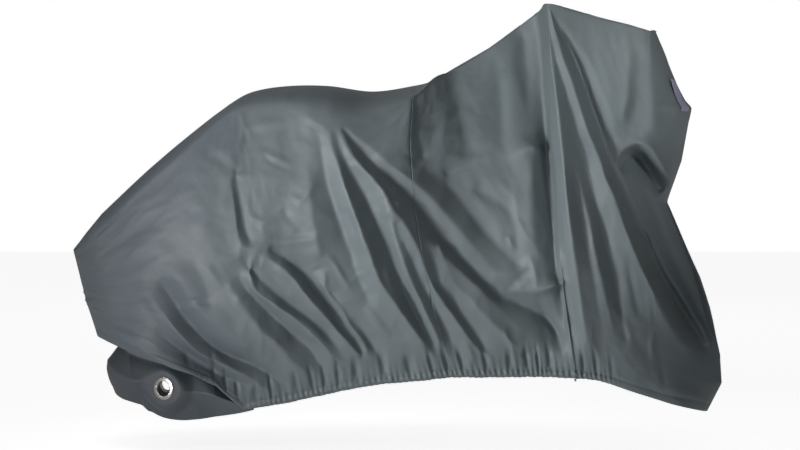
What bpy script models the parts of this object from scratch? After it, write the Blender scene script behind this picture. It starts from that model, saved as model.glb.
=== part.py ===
"""Bicycle cover: coated cloth that hangs in folds over a parked bicycle, with lock eyelets at the rear.

+X points to the bicycle's front, -Y is the near side, +Z is up. The cloth is two sewn panels, joined by a
seam across the middle, and a strip at the rear hem that holds an eyelet on each side.
"""
import math

import bmesh
import bpy
import numpy as np
from mathutils import Matrix, Vector

MM = 0.001

# ------------------------------------------------------------------------- driving dimensions
CLOTH = 2.0 * MM            # cloth with its seam allowances
SEAM_GAP = 3.0 * MM         # between the panels, whose edges tilt with the folds
STRIP_INSET = 12.0 * MM     # the strip hangs this far inside the panel's overhang
STRIP_OVERLAP = 0.06        # share of the side's height that the strip reaches up behind the overhang
EYELET_BORE = 41.0 * MM
EYELET_FLANGE = 63.0 * MM
EYELET_HOLE = 48.0 * MM     # hole in the cloth
EYELET_AT = (-652 * MM, 157 * MM)      # on the elevation
LABEL_SIZE = (60.0 * MM, 100.0 * MM)
LABEL_THICK = 1.0 * MM
LABEL_GAP = 1.2 * MM
LABEL_AT = (math.radians(63), 0.842)    # angle on the front end, share of its height
LABEL_CELLS = 8
SUPPORT = Vector((-0.130, 0.0, 0.960))  # top of the bicycle's saddle, in the table's frame: the part's origin

# Folds are laid out on a side elevation, the plane y = 0 as seen from this point beside the bicycle.
EYE_DISTANCE = 7.0
EYE_HEIGHT = 0.950

# ------------------------------------------------------------------------- sections (mm, ground at 0)
# Each row is a section across the cover: the top's x, the near shoulder (y, z), the crown's z, the far
# shoulder (y, z), the belly halfway down the sides (x, z, near y, far y) and the hem (x, z, near y, far y).
SECTIONS = [
    ("rear corner", -820, (-120, 590), 640, (120, 590), (-755, 310, -150, 140), (-685, 105, -100, 100)),
    ("rear slope", -700, (-180, 680), 730, (170, 680), (-645, 355, -225, 210), (-615, 85, -130, 140)),
    ("upper slope", -575, (-210, 790), 840, (190, 805), (-515, 425, -270, 250), (-500, 95, -165, 180)),
    ("rack edge", -465, (-210, 900), 935, (190, 925), (-405, 475, -285, 260), (-370, 125, -205, 205)),
    ("rack top", -400, (-215, 920), 975, (200, 965), (-345, 500, -290, 265), (-290, 140, -215, 210)),
    ("roof rear", -305, (-230, 925), 990, (200, 980), (-250, 525, -295, 270), (-200, 160, -220, 210)),
    ("saddle", -195, (-280, 890), 990, (210, 985), (-130, 545, -300, 270), (-75, 185, -220, 210)),
    ("roof dip", -75, (-260, 900), 975, (210, 975), (-40, 585, -295, 265), (40, 195, -215, 210)),
    ("seam", 35, (-220, 955), 990, (200, 985), (45, 630, -290, 260), (140, 205, -210, 205)),
    ("step", 90, (-165, 1010), 1005, (200, 990), (135, 660, -265, 250), (230, 205, -200, 200)),
    ("lamp", 150, (-120, 1035), 1040, (190, 1015), (240, 675, -250, 245), (310, 205, -195, 195)),
    ("rise", 245, (-110, 1095), 1095, (200, 1065), (330, 660, -250, 250), (395, 205, -190, 190)),
    ("near grip", 385, (-270, 1205), 1185, (230, 1135), (420, 650, -280, 260), (480, 200, -185, 180)),
    ("dip", 475, (-260, 1185), 1185, (250, 1165), (505, 640, -265, 260), (550, 190, -175, 180)),
    ("far grip", 580, (-240, 1155), 1165, (240, 1150), (585, 630, -230, 240), (640, 160, -155, 170)),
    ("front corner", 665, (-215, 1135), 1140, (190, 1125), (670, 610, -160, 180), (740, 125, -110, 130)),
]
SEAM_ROW = 8
# Outline of the rear and the front end, (x, z) from the hem up.
REAR_NOSE = [(-778, 170), (-785, 185), (-810, 225), (-830, 290), (-865, 400), (-900, 540), (-893, 549)]
FRONT_NOSE = [(850, 92), (890, 170), (885, 245), (855, 380), (825, 465), (735, 670), (775, 785),
              (800, 930), (782, 950), (760, 995), (715, 1100), (695, 1137)]
# The panel's lower edge above the strip, as a share of the side's height at each of the first sections.
OVERHANG = [(0.0, 0.37), (1.0, 0.26), (2.0, 0.13), (2.6, 0.0)]
STRIP_END = 2.5             # section where the strip ends on each side

# ------------------------------------------------------------------------- folds
# Crests, troughs and breaks of the near side, on the elevation: (name, [(x, y, height in mm, outwards
# positive)]), where x and y are the photograph's pixels. The cloth is taut between them.
PIXEL = 2.75 * MM                       # size of one pixel on the elevation
PICTURE_MIDDLE = (400, 225)             # the pixel at x = 0 and z = MIDDLE_HEIGHT
MIDDLE_HEIGHT = 0.608
NEAR_LINES = [
    ("rear facet, right edge", [
        (310, 150, 0), (316, 182, 6), (317, 205, 8), (318, 225, 8), (319, 243, 6), (322, 256, 2)]),
    ("hollow left of the saddle cone", [
        (321, 142, -2), (323, 165, -16), (327, 195, -26), (333, 222, -32), (341, 245, -34), (350, 270, -32),
        (358, 295, -26), (364, 317, -16), (370, 335, -6)]),
    ("saddle cone, first ridge", [
        (329, 129, 2), (334, 158, 8), (343, 180, 12), (352, 200, 14), (360, 220, 14), (367, 240, 14),
        (375, 260, 14), (384, 280, 14), (395, 300, 12), (406, 320, 10), (417, 342, 4)]),
    ("saddle cone, first trough", [
        (336, 138, -4), (347, 160, -16), (357, 180, -24), (366, 200, -30), (376, 220, -34), (386, 240, -38),
        (394, 260, -40), (403, 280, -40), (411, 300, -38), (419, 320, -32), (427, 340, -22),
        (434, 358, -8)]),
    ("saddle cone, second ridge", [
        (338, 128, 2), (352, 147, 10), (363, 163, 14), (376, 180, 16), (388, 194, 16), (397, 205, 14)]),
    ("its left branch", [
        (391, 222, 8), (398, 240, 4), (405, 260, 2), (413, 280, 0), (422, 300, 0), (432, 320, 0),
        (442, 342, 0)]),
    ("trough between the branches", [
        (400, 226, 4), (408, 245, -8), (414, 262, -14), (422, 282, -20), (430, 302, -26), (438, 322, -28),
        (446, 342, -22), (452, 358, -8)]),
    ("its right branch", [
        (397, 205, 14), (411, 218, 10), (422, 230, 6), (428, 242, 2), (429, 262, -4), (431, 282, -6),
        (435, 298, -8), (446, 318, -8), (459, 336, -6), (470, 352, -4)]),
    ("lower lip of the deep trough", [
        (428, 242, 2), (440, 254, -6), (452, 268, -16), (466, 283, -22), (482, 296, -26), (500, 308, -26),
        (520, 318, -24), (540, 330, -18)]),
    ("thin trough below it", [
        (450, 266, -26), (456, 280, -30), (463, 298, -28), (470, 317, -26), (481, 334, -22),
        (492, 353, -16), (502, 370, -6)]),
    ("swell before the hem", [(472, 293, -26), (488, 310, -20), (505, 330, -14), (520, 350, -8)]),
    ("saddle cone, deep trough", [
        (343, 129, -8), (358, 143, -30), (374, 160, -46), (387, 172, -56), (398, 181, -62), (412, 194, -70),
        (425, 208, -74), (436, 220, -78), (447, 233, -80), (460, 247, -82), (472, 260, -82),
        (484, 272, -80), (497, 284, -76), (510, 293, -70), (525, 302, -60), (540, 313, -46),
        (552, 327, -30), (561, 341, -12)]),
    ("saddle cone, long ridge", [
        (342, 123, 2), (360, 138, -8), (380, 153, -22), (400, 168, -34), (411, 176, -40), (425, 188, -46),
        (437, 200, -50), (450, 213, -53), (463, 226, -55), (476, 240, -56), (486, 254, -55),
        (492, 268, -52)]),
    ("valley beside the long ridge", [
        (430, 160, -62), (446, 176, -78), (458, 187, -80), (473, 205, -80), (486, 220, -76),
        (498, 230, -70), (508, 240, -62)]),
    ("upper edge of the flat facet", [
        (448, 174, -70), (461, 170, -60), (480, 165, -52), (499, 161, -46), (522, 151, -40),
        (537, 148, -38)]),
    ("flat facet", [(480, 195, -62), (500, 200, -52), (515, 215, -46), (520, 235, -44)]),
    ("flat facet, right edge", [
        (538, 150, -38), (539, 175, -34), (540, 200, -32), (540, 225, -32), (540, 250, -34)]),
    ("roof beside the seam", [(416, 100, -14), (420, 120, -30), (424, 140, -42), (428, 158, -56)]),
    ("middle of the sloping roof", [(470, 80, -60), (480, 110, -64), (488, 140, -60)]),
    ("seam line", [(411, 100, -2), (410, 128, -6), (409, 150, -14), (410, 170, -34)]),
    ("hollow behind the grip cone", [
        (544, 18, -12), (546, 40, -34), (548, 75, -54), (549, 110, -62), (550, 150, -64), (551, 180, -62),
        (552, 210, -58), (553, 240, -54), (555, 258, -50)]),
    ("grip cone, first ridge", [
        (547, 10, 2), (551, 40, -8), (558, 80, -14), (563, 120, -14), (568, 160, -12), (571, 200, -10),
        (574, 240, -8), (577, 280, -6), (581, 320, -4), (585, 350, -2)]),
    ("grip cone, first trough", [
        (548, 12, -6), (556, 40, -24), (567, 80, -40), (574, 120, -48), (581, 160, -50), (588, 200, -46),
        (592, 240, -38), (597, 280, -28), (602, 310, -18), (608, 340, -6)]),
    ("grip cone, thin ridge", [
        (579, 166, -42), (588, 200, -30), (594, 225, -22), (596, 255, -14), (601, 275, -10), (607, 300, -6),
        (613, 325, -4), (618, 350, -2)]),
    ("grip cone, second trough", [
        (583, 160, -40), (592, 195, -34), (600, 225, -30), (606, 255, -24), (612, 285, -18),
        (620, 315, -10), (626, 340, -4)]),
    ("grip cone, broad ridge", [
        (549, 12, 0), (563, 45, -4), (580, 85, -2), (592, 120, 2), (604, 160, 6), (618, 200, 10),
        (634, 245, 12), (648, 285, 12), (660, 320, 10), (668, 345, 4)]),
    ("grip cone, edge of the broad ridge", [
        (550, 10, 0), (563, 35, -6), (576, 60, -8), (588, 90, -8), (598, 122, -6), (608, 152, -4),
        (620, 180, 0), (633, 210, 2), (645, 240, 4), (655, 268, 4), (667, 300, 4), (680, 330, 2),
        (690, 348, 0)]),
    ("grip cone, deep trough", [
        (551, 9, -6), (565, 33, -26), (579, 60, -38), (592, 90, -44), (602, 120, -48), (611, 150, -56),
        (624, 178, -66), (638, 206, -76), (650, 236, -82), (662, 266, -84), (675, 298, -80),
        (688, 328, -66), (700, 348, -40), (710, 362, -14)]),
    ("big facet", [(566, 22, 0), (590, 40, 2), (610, 60, 4), (615, 100, 0), (612, 140, -14)]),
    ("far side of the deep trough", [
        (572, 30, -2), (586, 58, -6), (598, 88, -10), (608, 118, -16), (614, 142, -26)]),
    ("valley under the far grip", [(638, 82, 6), (634, 100, -4), (628, 122, -14), (621, 143, -26)]),
    ("upright ridge", [(641, 45, 8), (646, 70, 16), (648, 95, 22), (647, 120, 24), (646, 138, 26)]),
    ("lip of the pocket", [
        (618, 160, -40), (622, 149, -20), (632, 143, 8), (642, 141, 24), (652, 148, 28), (662, 158, 28),
        (671, 170, 26), (676, 180, 20)]),
    ("pocket", [(624, 160, -62), (636, 156, -66), (648, 162, -60), (658, 174, -54), (664, 186, -50)]),
    ("ridge in the hollow", [
        (620, 168, -50), (630, 188, -54), (641, 212, -58), (653, 240, -60), (665, 264, -60),
        (680, 290, -54), (693, 312, -42), (704, 334, -26), (711, 350, -12)]),
    ("hollow before the wheel", [
        (660, 205, -80), (672, 232, -88), (684, 260, -86), (696, 290, -74), (706, 316, -50),
        (712, 335, -24)]),
    ("packing crease, upright", [
        (230, 110, 0), (232, 150, 4), (233, 183, 6), (236, 201, 8), (239, 223, 10), (243, 245, 10),
        (258, 249, 6), (268, 248, 2)]),
    ("valley right of it", [(240, 190, -2), (245, 215, -8), (251, 235, -14), (262, 243, -12)]),
    ("packing fold, crest", [(268, 240, 0), (282, 252, 0), (298, 268, -2), (312, 282, -4), (322, 290, -8)]),
    ("packing fold, trough", [
        (262, 251, -12), (274, 256, -24), (286, 266, -34), (298, 281, -42), (310, 296, -48),
        (321, 305, -50), (332, 319, -50), (344, 333, -46), (355, 344, -38), (366, 353, -28),
        (378, 366, -16), (388, 380, -4)]),
    ("packing fold, right side", [
        (326, 292, -12), (338, 307, -10), (350, 322, -8), (362, 338, -6), (374, 352, -4)]),
    ("crest below the packing fold", [
        (245, 262, 4), (256, 275, 6), (272, 289, 6), (290, 304, 4), (308, 320, 2), (326, 336, 0),
        (344, 352, -4)]),
    ("rear trough, upper", [
        (240, 260, -6), (247, 276, -14), (259, 290, -20), (275, 303, -24), (290, 315, -26), (308, 330, -24),
        (324, 344, -16), (338, 356, -6)]),
    ("crest between the rear troughs", [
        (240, 279, 4), (252, 293, 6), (266, 308, 6), (282, 323, 4), (298, 338, 2), (316, 354, -2),
        (330, 366, -4)]),
    ("rear trough, middle", [
        (236, 285, -4), (246, 300, -16), (258, 314, -28), (272, 329, -36), (286, 343, -38), (300, 357, -34),
        (314, 370, -22), (326, 382, -6)]),
    ("crest below the middle trough", [
        (232, 298, 4), (246, 320, 6), (262, 338, 6), (278, 354, 4), (294, 370, 0)]),
    ("rear trough, lower", [
        (147, 270, -2), (156, 289, -16), (167, 307, -28), (179, 325, -38), (190, 342, -46), (201, 357, -50),
        (218, 359, -52), (236, 363, -50), (254, 371, -42), (274, 381, -28), (292, 391, -8)]),
    ("rear flank behind that trough", [
        (168, 275, 10), (182, 298, 8), (197, 318, 4), (214, 334, 4), (235, 345, 4), (256, 356, 2)]),
    ("rear ridge", [
        (140, 288, 6), (152, 308, 10), (166, 326, 12), (180, 342, 12), (194, 355, 8), (210, 366, 6),
        (232, 374, 4), (254, 383, 2)]),
    ("small trough", [
        (160, 336, 2), (174, 347, -6), (188, 358, -14), (204, 370, -18), (226, 377, -18), (248, 387, -10)]),
    ("overhang", [
        (108, 325, 6), (122, 336, 16), (142, 346, 24), (164, 358, 28), (186, 369, 28), (208, 380, 24),
        (228, 390, 14), (244, 398, 4)]),
    ("break of the rear flank", [
        (196, 190, 8), (199, 212, 10), (206, 236, 10), (217, 258, 8), (227, 276, 6)]),
    ("rear flank hollow", [(185, 215, -4), (190, 245, -8), (198, 275, -10), (206, 305, -8)]),
    ("upper edge of the rear facet", [
        (200, 182, 8), (225, 179, 10), (255, 178, 10), (285, 180, 8), (306, 184, 6)]),
]
# Folds of the far side, on the same elevation.
FAR_LINES = [
    ("saddle, rear fold", [
        (332, 140, 0), (320, 180, -28), (308, 245, -42), (298, 330, -36), (294, 375, 0)]),
    ("saddle, middle fold", [
        (340, 140, 0), (356, 170, -30), (374, 245, -42), (388, 315, -32), (396, 355, 0)]),
    ("saddle, ridge", [(336, 140, 4), (340, 190, 12), (346, 250, 14), (350, 320, 8)]),
    ("saddle, front fold", [
        (350, 140, 0), (396, 170, -42), (442, 225, -56), (482, 285, -46), (508, 335, 0)]),
    ("grip, rear fold", [(612, 60, 0), (602, 118, -34), (594, 192, -46), (590, 275, -38), (588, 350, 0)]),
    ("grip, ridge", [(618, 60, 4), (620, 130, 12), (622, 210, 12), (624, 300, 6)]),
    ("grip, front fold", [(618, 60, 0), (632, 118, -32), (642, 192, -42), (650, 265, -32), (660, 345, 0)]),
    ("rear fold, lower", [(168, 258, 0), (208, 305, -32), (256, 345, -38), (292, 378, 0)]),
    ("rear fold, upper", [(234, 245, 0), (282, 290, -36), (328, 335, -36), (354, 368, 0)]),
    ("hollow behind the grip", [(520, 120, 0), (517, 190, -28), (510, 270, -28), (506, 340, 0)]),
]

# ------------------------------------------------------------------------- mesh resolution
STEPS = 4                   # columns between two sections, near side
END_STEPS = 6               # columns around each half of an end
LEVELS = 28                 # rows from the hem to the shoulder
ROOF_STEPS = 4              # rows from the shoulder to the crown
FIELD_FROM = (40, -20)      # first pixel of the fold field
FIELD_SIZE = (704, 464)     # its size in pixels, a multiple of the coarsest cell
CELLS = ((8, 260), (4, 160), (2, 120))     # cell sizes in pixels, with the rounds that settle each
FOLD_REACH = 30             # pixels over which a fold's height dies away from its line
FOLD_BLUR = 5.0             # pixels of softening, so that the mesh carries the folds
DEEPEN = 0.6                # share by which the folds stand out more than their lines say
DEEPEN_WITHIN = 14.0        # among the forms smaller than this, in pixels
NEAR, FAR = -1, 1
END_TANGENT = 0.1           # stretch of the side, in sections, whose direction an end takes over


def between(a, b, c, d, t):
    """Smooth step (Catmull-Rom) from b to c, whose neighbours are a and d."""
    return 0.5 * (2 * b + (c - a) * t + (2 * a - 5 * b + 4 * c - d) * t ** 2
                  + (3 * b - a - 3 * c + d) * t ** 3)


def curve_through(points, per=6):
    """Smooth curve through the points, with `per` steps between two of them."""
    p = np.array(points, float)
    ends = np.vstack([2 * p[0] - p[1], p, 2 * p[-1] - p[-2]])
    t = (np.arange(per) / per)[:, None]
    runs = [between(*four, t) for four in zip(ends, ends[1:], ends[2:], ends[3:])]
    return np.vstack(runs + [p[-1:]])


def evenly(line, step=0.5):
    """Points along a smooth line, about `step` pixels apart."""
    p = curve_through(line)
    length = np.concatenate([[0], np.cumsum(np.hypot(*np.diff(p[:, :2], axis=0).T))])
    at = np.arange(0, length[-1], step)
    return np.stack([np.interp(at, length, p[:, k]) for k in range(3)], axis=1)


def blurred(field, sigma):
    reach = int(3 * sigma + 1)
    weights = np.exp(-0.5 * (np.arange(-reach, reach + 1) / sigma) ** 2)
    weights /= weights.sum()
    for axis in (0, 1):
        padded = np.pad(field, [(reach, reach) if k == axis else (0, 0) for k in (0, 1)], mode="edge")
        size = field.shape[axis]
        field = sum(w * np.take(padded, range(i, i + size), axis=axis) for i, w in enumerate(weights))
    return field


def fold_field(lines):
    """Heights of the cloth over the elevation: a membrane held at the lines, which dies away from them."""
    x, y, height = np.vstack([evenly(points) for _, points in lines]).T
    x, y = x - FIELD_FROM[0], y - FIELD_FROM[1]
    field = None
    for cell, rounds in CELLS:
        rows, columns = FIELD_SIZE[1] // cell, FIELD_SIZE[0] // cell
        at = (y / cell).astype(int) * columns + (x / cell).astype(int)
        hits = np.bincount(at, minlength=rows * columns).reshape(rows, columns)
        total = np.bincount(at, height, rows * columns).reshape(rows, columns)
        held = hits > 0
        field = np.zeros((rows, columns)) if field is None else np.kron(field, np.ones((2, 2)))
        for _ in range(rounds):
            field[held] = total[held] / hits[held]
            p = np.pad(field, 1, mode="edge")
            field = p[:-2, 1:-1] + p[2:, 1:-1] + p[1:-1, :-2] + p[1:-1, 2:]
            field /= 4 + (cell / FOLD_REACH) ** 2
    cell = CELLS[-1][0]
    field = blurred(field, FOLD_BLUR / cell) * MM
    return field + DEEPEN * (field - blurred(field, DEEPEN_WITHIN / cell))


def elevation(p):
    """Where the points p (..., 3) are seen on the side elevation: x and z."""
    k = EYE_DISTANCE / (EYE_DISTANCE + p[..., 1])
    return p[..., 0] * k, EYE_HEIGHT + (p[..., 2] - EYE_HEIGHT) * k


def relief(field, p):
    """The fold field's height at the points p, read bilinearly."""
    x, z = elevation(p)
    cell = CELLS[-1][0]
    x = (x / PIXEL + PICTURE_MIDDLE[0] - FIELD_FROM[0]) / cell - 0.5
    y = ((MIDDLE_HEIGHT - z) / PIXEL + PICTURE_MIDDLE[1] - FIELD_FROM[1]) / cell - 0.5
    x, y = np.clip(x, 0, field.shape[1] - 1.001), np.clip(y, 0, field.shape[0] - 1.001)
    i, j = x.astype(int), y.astype(int)
    u, v = x - i, y - j
    above = field[j, i] * (1 - u) + field[j, i + 1] * u
    below = field[j + 1, i] * (1 - u) + field[j + 1, i + 1] * u
    return above * (1 - v) + below * v


def displaced(p, side, height):
    """Points moved outwards along the line of sight, so that they stay in place on the elevation."""
    eye = np.array((0.0, -EYE_DISTANCE, EYE_HEIGHT))
    return p + side * height[..., None] * (p - eye) / (p[..., 1:2] - eye[1])


def section(s):
    """Section at s (0 is the rear corner): hem, belly, shoulder of each side, and the crown."""
    low = min(int(s), len(SECTIONS) - 2)
    rows = [SECTIONS[min(max(low + i, 0), len(SECTIONS) - 1)] for i in (-1, 0, 1, 2)]
    a, b, c, d = (np.array([top, *near, crown, *far, *belly, *hem], float)
                  for _, top, near, crown, far, belly, hem in rows)
    top, ny, nz, crown, fy, fz, bx, bz, bny, bfy, hx, hz, hny, hfy = between(a, b, c, d, s - low) * MM
    return {
        "crown": np.array((top, (ny + fy) / 2, crown)),
        NEAR: np.array(((hx, hny, hz), (bx, bny, bz), (top, ny, nz))),
        FAR: np.array(((hx, hfy, hz), (bx, bfy, bz), (top, fy, fz))),
    }


def side_point(s, side, t):
    """Point on a side at section s: t is 0 at the hem, 1 at the shoulder; the belly is at a half."""
    hem, belly, shoulder = section(s)[side]
    bend = 2 * belly - (hem + shoulder) / 2
    return (1 - t) ** 2 * hem + 2 * t * (1 - t) * bend + t ** 2 * shoulder


def end_point(end, side, angle, t):
    """Point on a rounded end: angle is 0 at the corner section and a right angle at the nose."""
    s, nose, sign = (0.0, REAR_NOSE, -1) if end == "rear" else (len(SECTIONS) - 1.0, FRONT_NOSE, 1)
    here, there = side_point(s, side, t), side_point(s, -side, t)
    mid, half = (here + there) / 2, (here - there) / 2
    outline = np.array(nose) * MM
    low, high = ((side_point(s, NEAR, end) + side_point(s, FAR, end))[2] / 2 for end in (0.0, 1.0))
    share = (mid[2] - low) / (high - low)
    nose_z = outline[0, 1] + share * (outline[-1, 1] - outline[0, 1])
    order = np.argsort(outline[:, 1])
    nose_x = np.interp(nose_z, outline[order, 1], outline[order, 0])
    before = side_point(abs(s - END_TANGENT), side, t)
    slope = (here - before)[1] / (here - before)[0]
    p = mid + half * math.cos(angle)
    p[1] += slope * (nose_x - mid[0]) * math.sin(angle) * math.cos(angle)
    p[0] += (nose_x - mid[0]) * math.sin(angle)
    p[2] += (nose_z - mid[2]) * math.sin(angle)
    return p


def overhang(s):
    """Share of the side's height at which the panel's lower edge hangs over the strip."""
    stations, shares = zip(*OVERHANG)
    return float(np.interp(s, stations, shares))


def columns():
    """Columns of one side from the rear nose to the front nose: (kind, section, angle)."""
    turn = [math.pi / 2 * i / END_STEPS for i in range(END_STEPS)]
    last = len(SECTIONS) - 1
    rear = [("rear", 0.0, math.pi / 2 - a) for a in turn]
    front = [("front", float(last), a + math.pi / 2 / END_STEPS) for a in turn]
    return rear + [("side", i / STEPS, 0.0) for i in range(last * STEPS + 1)] + front


def wall_point(column, side, t):
    kind, s, angle = column
    return side_point(s, side, t) if kind == "side" else end_point(kind, side, angle, t)


def crown_point(column, side):
    kind, s, angle = column
    crown = section(s)["crown"]
    if kind == "side":
        return crown
    nose = end_point(kind, side, math.pi / 2, 1.0)
    return crown + (nose - crown) * math.sin(angle)


FOLDS = {NEAR: fold_field(NEAR_LINES), FAR: fold_field(FAR_LINES)}


def half_surface(side):
    """Grid of points (column, row) of one side: hem to shoulder, then over the roof to the crown."""
    grid, facing = [], []
    for column in columns():
        low = overhang(column[1])
        wall = [wall_point(column, side, low + (1 - low) * k / LEVELS) for k in range(LEVELS + 1)]
        crown = crown_point(column, side)
        roof = []
        for k in range(1, ROOF_STEPS + 1):
            v = math.pi / 2 * k / ROOF_STEPS
            p = crown + (wall[-1] - crown) * math.cos(v)
            p[2] = wall[-1][2] + (crown[2] - wall[-1][2]) * math.sin(v)
            roof.append(p)
        grid.append(wall + roof)
        face = math.sqrt(max(math.cos(column[2]), 0.0))
        fade = np.clip(1 - 1.5 * (np.arange(LEVELS + ROOF_STEPS + 1) - LEVELS) / ROOF_STEPS, 0, 1)
        facing.append(face * fade)
    grid = np.array(grid)
    return displaced(grid, side, relief(FOLDS[side], grid) * np.array(facing))


# ------------------------------------------------------------------------- pieces
REAR_COLUMNS = END_STEPS + SEAM_ROW * STEPS      # columns behind the seam


def material(name, colour, roughness, metallic=0.0):
    mat = bpy.data.materials.new(name)
    mat.use_nodes = True
    shader = mat.node_tree.nodes["Principled BSDF"]
    shader.inputs["Base Color"].default_value = (*colour, 1.0)
    shader.inputs["Roughness"].default_value = roughness
    shader.inputs["Metallic"].default_value = metallic
    return mat


def add_object(name, mesh, mat, collection):
    mesh.materials.append(mat)
    mesh.shade_smooth()
    obj = bpy.data.objects.new(name, mesh)
    collection.objects.link(obj)
    return obj


def thicken(obj, thickness):
    """Thickness on the inner side of an open sheet."""
    solid = obj.modifiers.new("thickness", "SOLIDIFY")
    solid.thickness = thickness
    solid.offset = -1
    return solid


def sheet_mesh(name, polygons):
    """Mesh of polygons given as lists of (key, point); points with one key are one vertex."""
    bm = bmesh.new()
    verts = {}
    for polygon in polygons:
        keys = [key for key, _ in polygon]
        for key, point in polygon:
            if key not in verts:
                verts[key] = bm.verts.new(Vector(point) - SUPPORT)
        corners = [verts[key] for i, key in enumerate(keys) if key not in keys[:i]]
        if len(corners) > 2:
            bm.faces.new(corners)
    bmesh.ops.triangulate(bm, faces=bm.faces, quad_method="ALTERNATE")
    mesh = bpy.data.meshes.new(name)
    bm.to_mesh(mesh)
    bm.free()
    return mesh


def cover_polygons(surface, first, last):
    """Polygons of the cover between two columns. The far side is twice as coarse as the near side."""
    nose, crown = surface[NEAR].shape[0] - 1, surface[NEAR].shape[1] - 1

    def vertex(side, c, r):
        if c in (0, nose):
            return ("nose", c, min(r, LEVELS)), surface[NEAR][c, min(r, LEVELS)]
        if r == crown:
            return ("crown", c), surface[NEAR][c, r]
        return (side, c, r), surface[side][c, r]

    for c in range(first, last):
        for r in range(crown):
            yield [vertex(NEAR, *at) for at in ((c, r), (c + 1, r), (c + 1, r + 1), (c, r + 1))]
    for c in range(first, last, 2):
        for r in range(0, crown, 2):
            around = [(c, r), (c, r + 1), (c, r + 2), (c + 1, r + 2), (c + 2, r + 2), (c + 2, r + 1),
                      (c + 2, r), (c + 1, r)]
            corners = [vertex(FAR, *at) for at in around]
            yield [v for at, v in zip(around, corners)
                   if (at[0] - c) % 2 == 0 and (at[1] - r) % 2 == 0 or v[0][0] in ("nose", "crown")]


def draw_back(surface, column, towards):
    """The surface with one column moved a little towards its neighbour."""
    moved = {side: grid.copy() for side, grid in surface.items()}
    for side, grid in moved.items():
        step = grid[towards] - grid[column]
        grid[column] += step / np.linalg.norm(step, axis=1, keepdims=True) * SEAM_GAP / 2
    moved[FAR][:, -1] = moved[NEAR][:, -1]
    return moved


def strip_grid(side, rows=6):
    """Surface of the eyelet strip on one side, from the rear nose forwards."""
    grid = []
    for column in columns():
        kind, s, angle = column
        if kind == "front" or s > STRIP_END:
            break
        inward = np.array((math.sin(angle), -side * math.cos(angle), 0.0)) * STRIP_INSET
        high = overhang(s) + STRIP_OVERLAP
        grid.append([wall_point(column, side, high * k / rows) + inward for k in range(rows + 1)])
    grid = np.array(grid)
    face = np.sqrt([max(math.cos(column[2]), 0.0) for column in columns()[:len(grid)]])
    return displaced(grid, side, np.minimum(relief(FOLDS[side], grid), 0) * face[:, None])


def eyelet_place(side):
    """Centre and outward normal of an eyelet on the strip."""
    grid = strip_grid(side)
    x, z = grid[..., 0], grid[..., 2]
    if side == NEAR:
        x, z = elevation(grid)
    miss = np.hypot(x - EYELET_AT[0], z - EYELET_AT[1])
    weight = 1 / (miss + 0.002) ** 3
    weight[miss > 0.06] = 0
    centre = (grid * weight[..., None]).sum((0, 1)) / weight.sum()
    spread = (grid - centre)[miss < 0.06]
    normal = Vector(np.linalg.svd(spread)[2][2])
    if normal.y * side < 0:
        normal.negate()
    normal.z = 0
    return Vector(centre), normal.normalized()


def flat_at_eyelet(grid, centre, normal, flat=0.075, far=0.12):
    """The strip's surface, laid flat around the eyelet."""
    offset = (grid - np.array(centre)) @ np.array(normal)
    distance = np.linalg.norm(grid - np.array(centre), axis=2)
    share = np.clip((far - distance) / (far - flat), 0, 1)
    return grid - (offset * share)[..., None] * np.array(normal)


def make_strip(mat, collection, cutters):
    grids = {}
    for side in (NEAR, FAR):
        grids[side] = flat_at_eyelet(strip_grid(side), *eyelet_place(side))
    count, rows = grids[NEAR].shape[:2]

    def vertex(side, c, r):
        return (side if c else 0, c, r), grids[side][c, r]

    polygons = []
    for side in (NEAR, FAR):
        for c in range(count - 1):
            for r in range(rows - 1):
                cell = [vertex(side, *at) for at in ((c, r), (c + 1, r), (c + 1, r + 1), (c, r + 1))]
                polygons.append(cell[::-side])
    obj = add_object("eyelet_strip", sheet_mesh("eyelet_strip", polygons), mat, collection)
    thicken(obj, CLOTH)
    for side, name in ((NEAR, "near"), (FAR, "far")):
        centre, normal = eyelet_place(side)
        bpy.ops.mesh.primitive_cylinder_add(vertices=32, radius=EYELET_HOLE / 2, depth=0.03)
        cutter = bpy.context.object
        cutter.name = "cut_eyelet_" + name
        cutter.matrix_world = facing_out(centre, normal)
        cutter.hide_render = True
        cutter.display_type = "WIRE"
        for users in cutter.users_collection:
            users.objects.unlink(cutter)
        cutters.objects.link(cutter)
        cut = obj.modifiers.new("hole_" + name, "BOOLEAN")
        cut.operation = "DIFFERENCE"
        cut.object = cutter
    return obj


def facing_out(centre, normal):
    """Placement whose Z axis is the outward normal."""
    turn = normal.to_track_quat("Z", "Y").to_matrix().to_4x4()
    return Matrix.Translation(centre - SUPPORT) @ turn


def make_eyelet(name, side, mat, collection):
    """Turned metal ring: a front flange, a barrel through the cloth and a washer behind."""
    bore, flange, barrel, washer = EYELET_BORE / 2, EYELET_FLANGE / 2, EYELET_HOLE / 2 - 0.0005, 0.029
    front, back = 0.0003, -CLOTH - 0.0003
    profile = [(bore, front + 0.0012), (bore + 0.003, front + 0.0030), (flange - 0.004, front + 0.0030),
               (flange, front + 0.0010), (flange, front), (barrel, front), (barrel, back), (washer, back),
               (washer, back - 0.0015), (bore + 0.001, back - 0.0015), (bore, back - 0.0005)]
    mesh = bpy.data.meshes.new(name)
    count = len(profile)
    mesh.from_pydata([(r, 0.0, z) for r, z in profile], [(i, (i + 1) % count) for i in range(count)], [])
    obj = add_object(name, mesh, mat, collection)
    turn = obj.modifiers.new("turn", "SCREW")
    turn.steps = turn.render_steps = 24
    turn.use_merge_vertices = True
    turn.merge_threshold = 0.0001
    obj.matrix_world = facing_out(*eyelet_place(side))
    return obj


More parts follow.
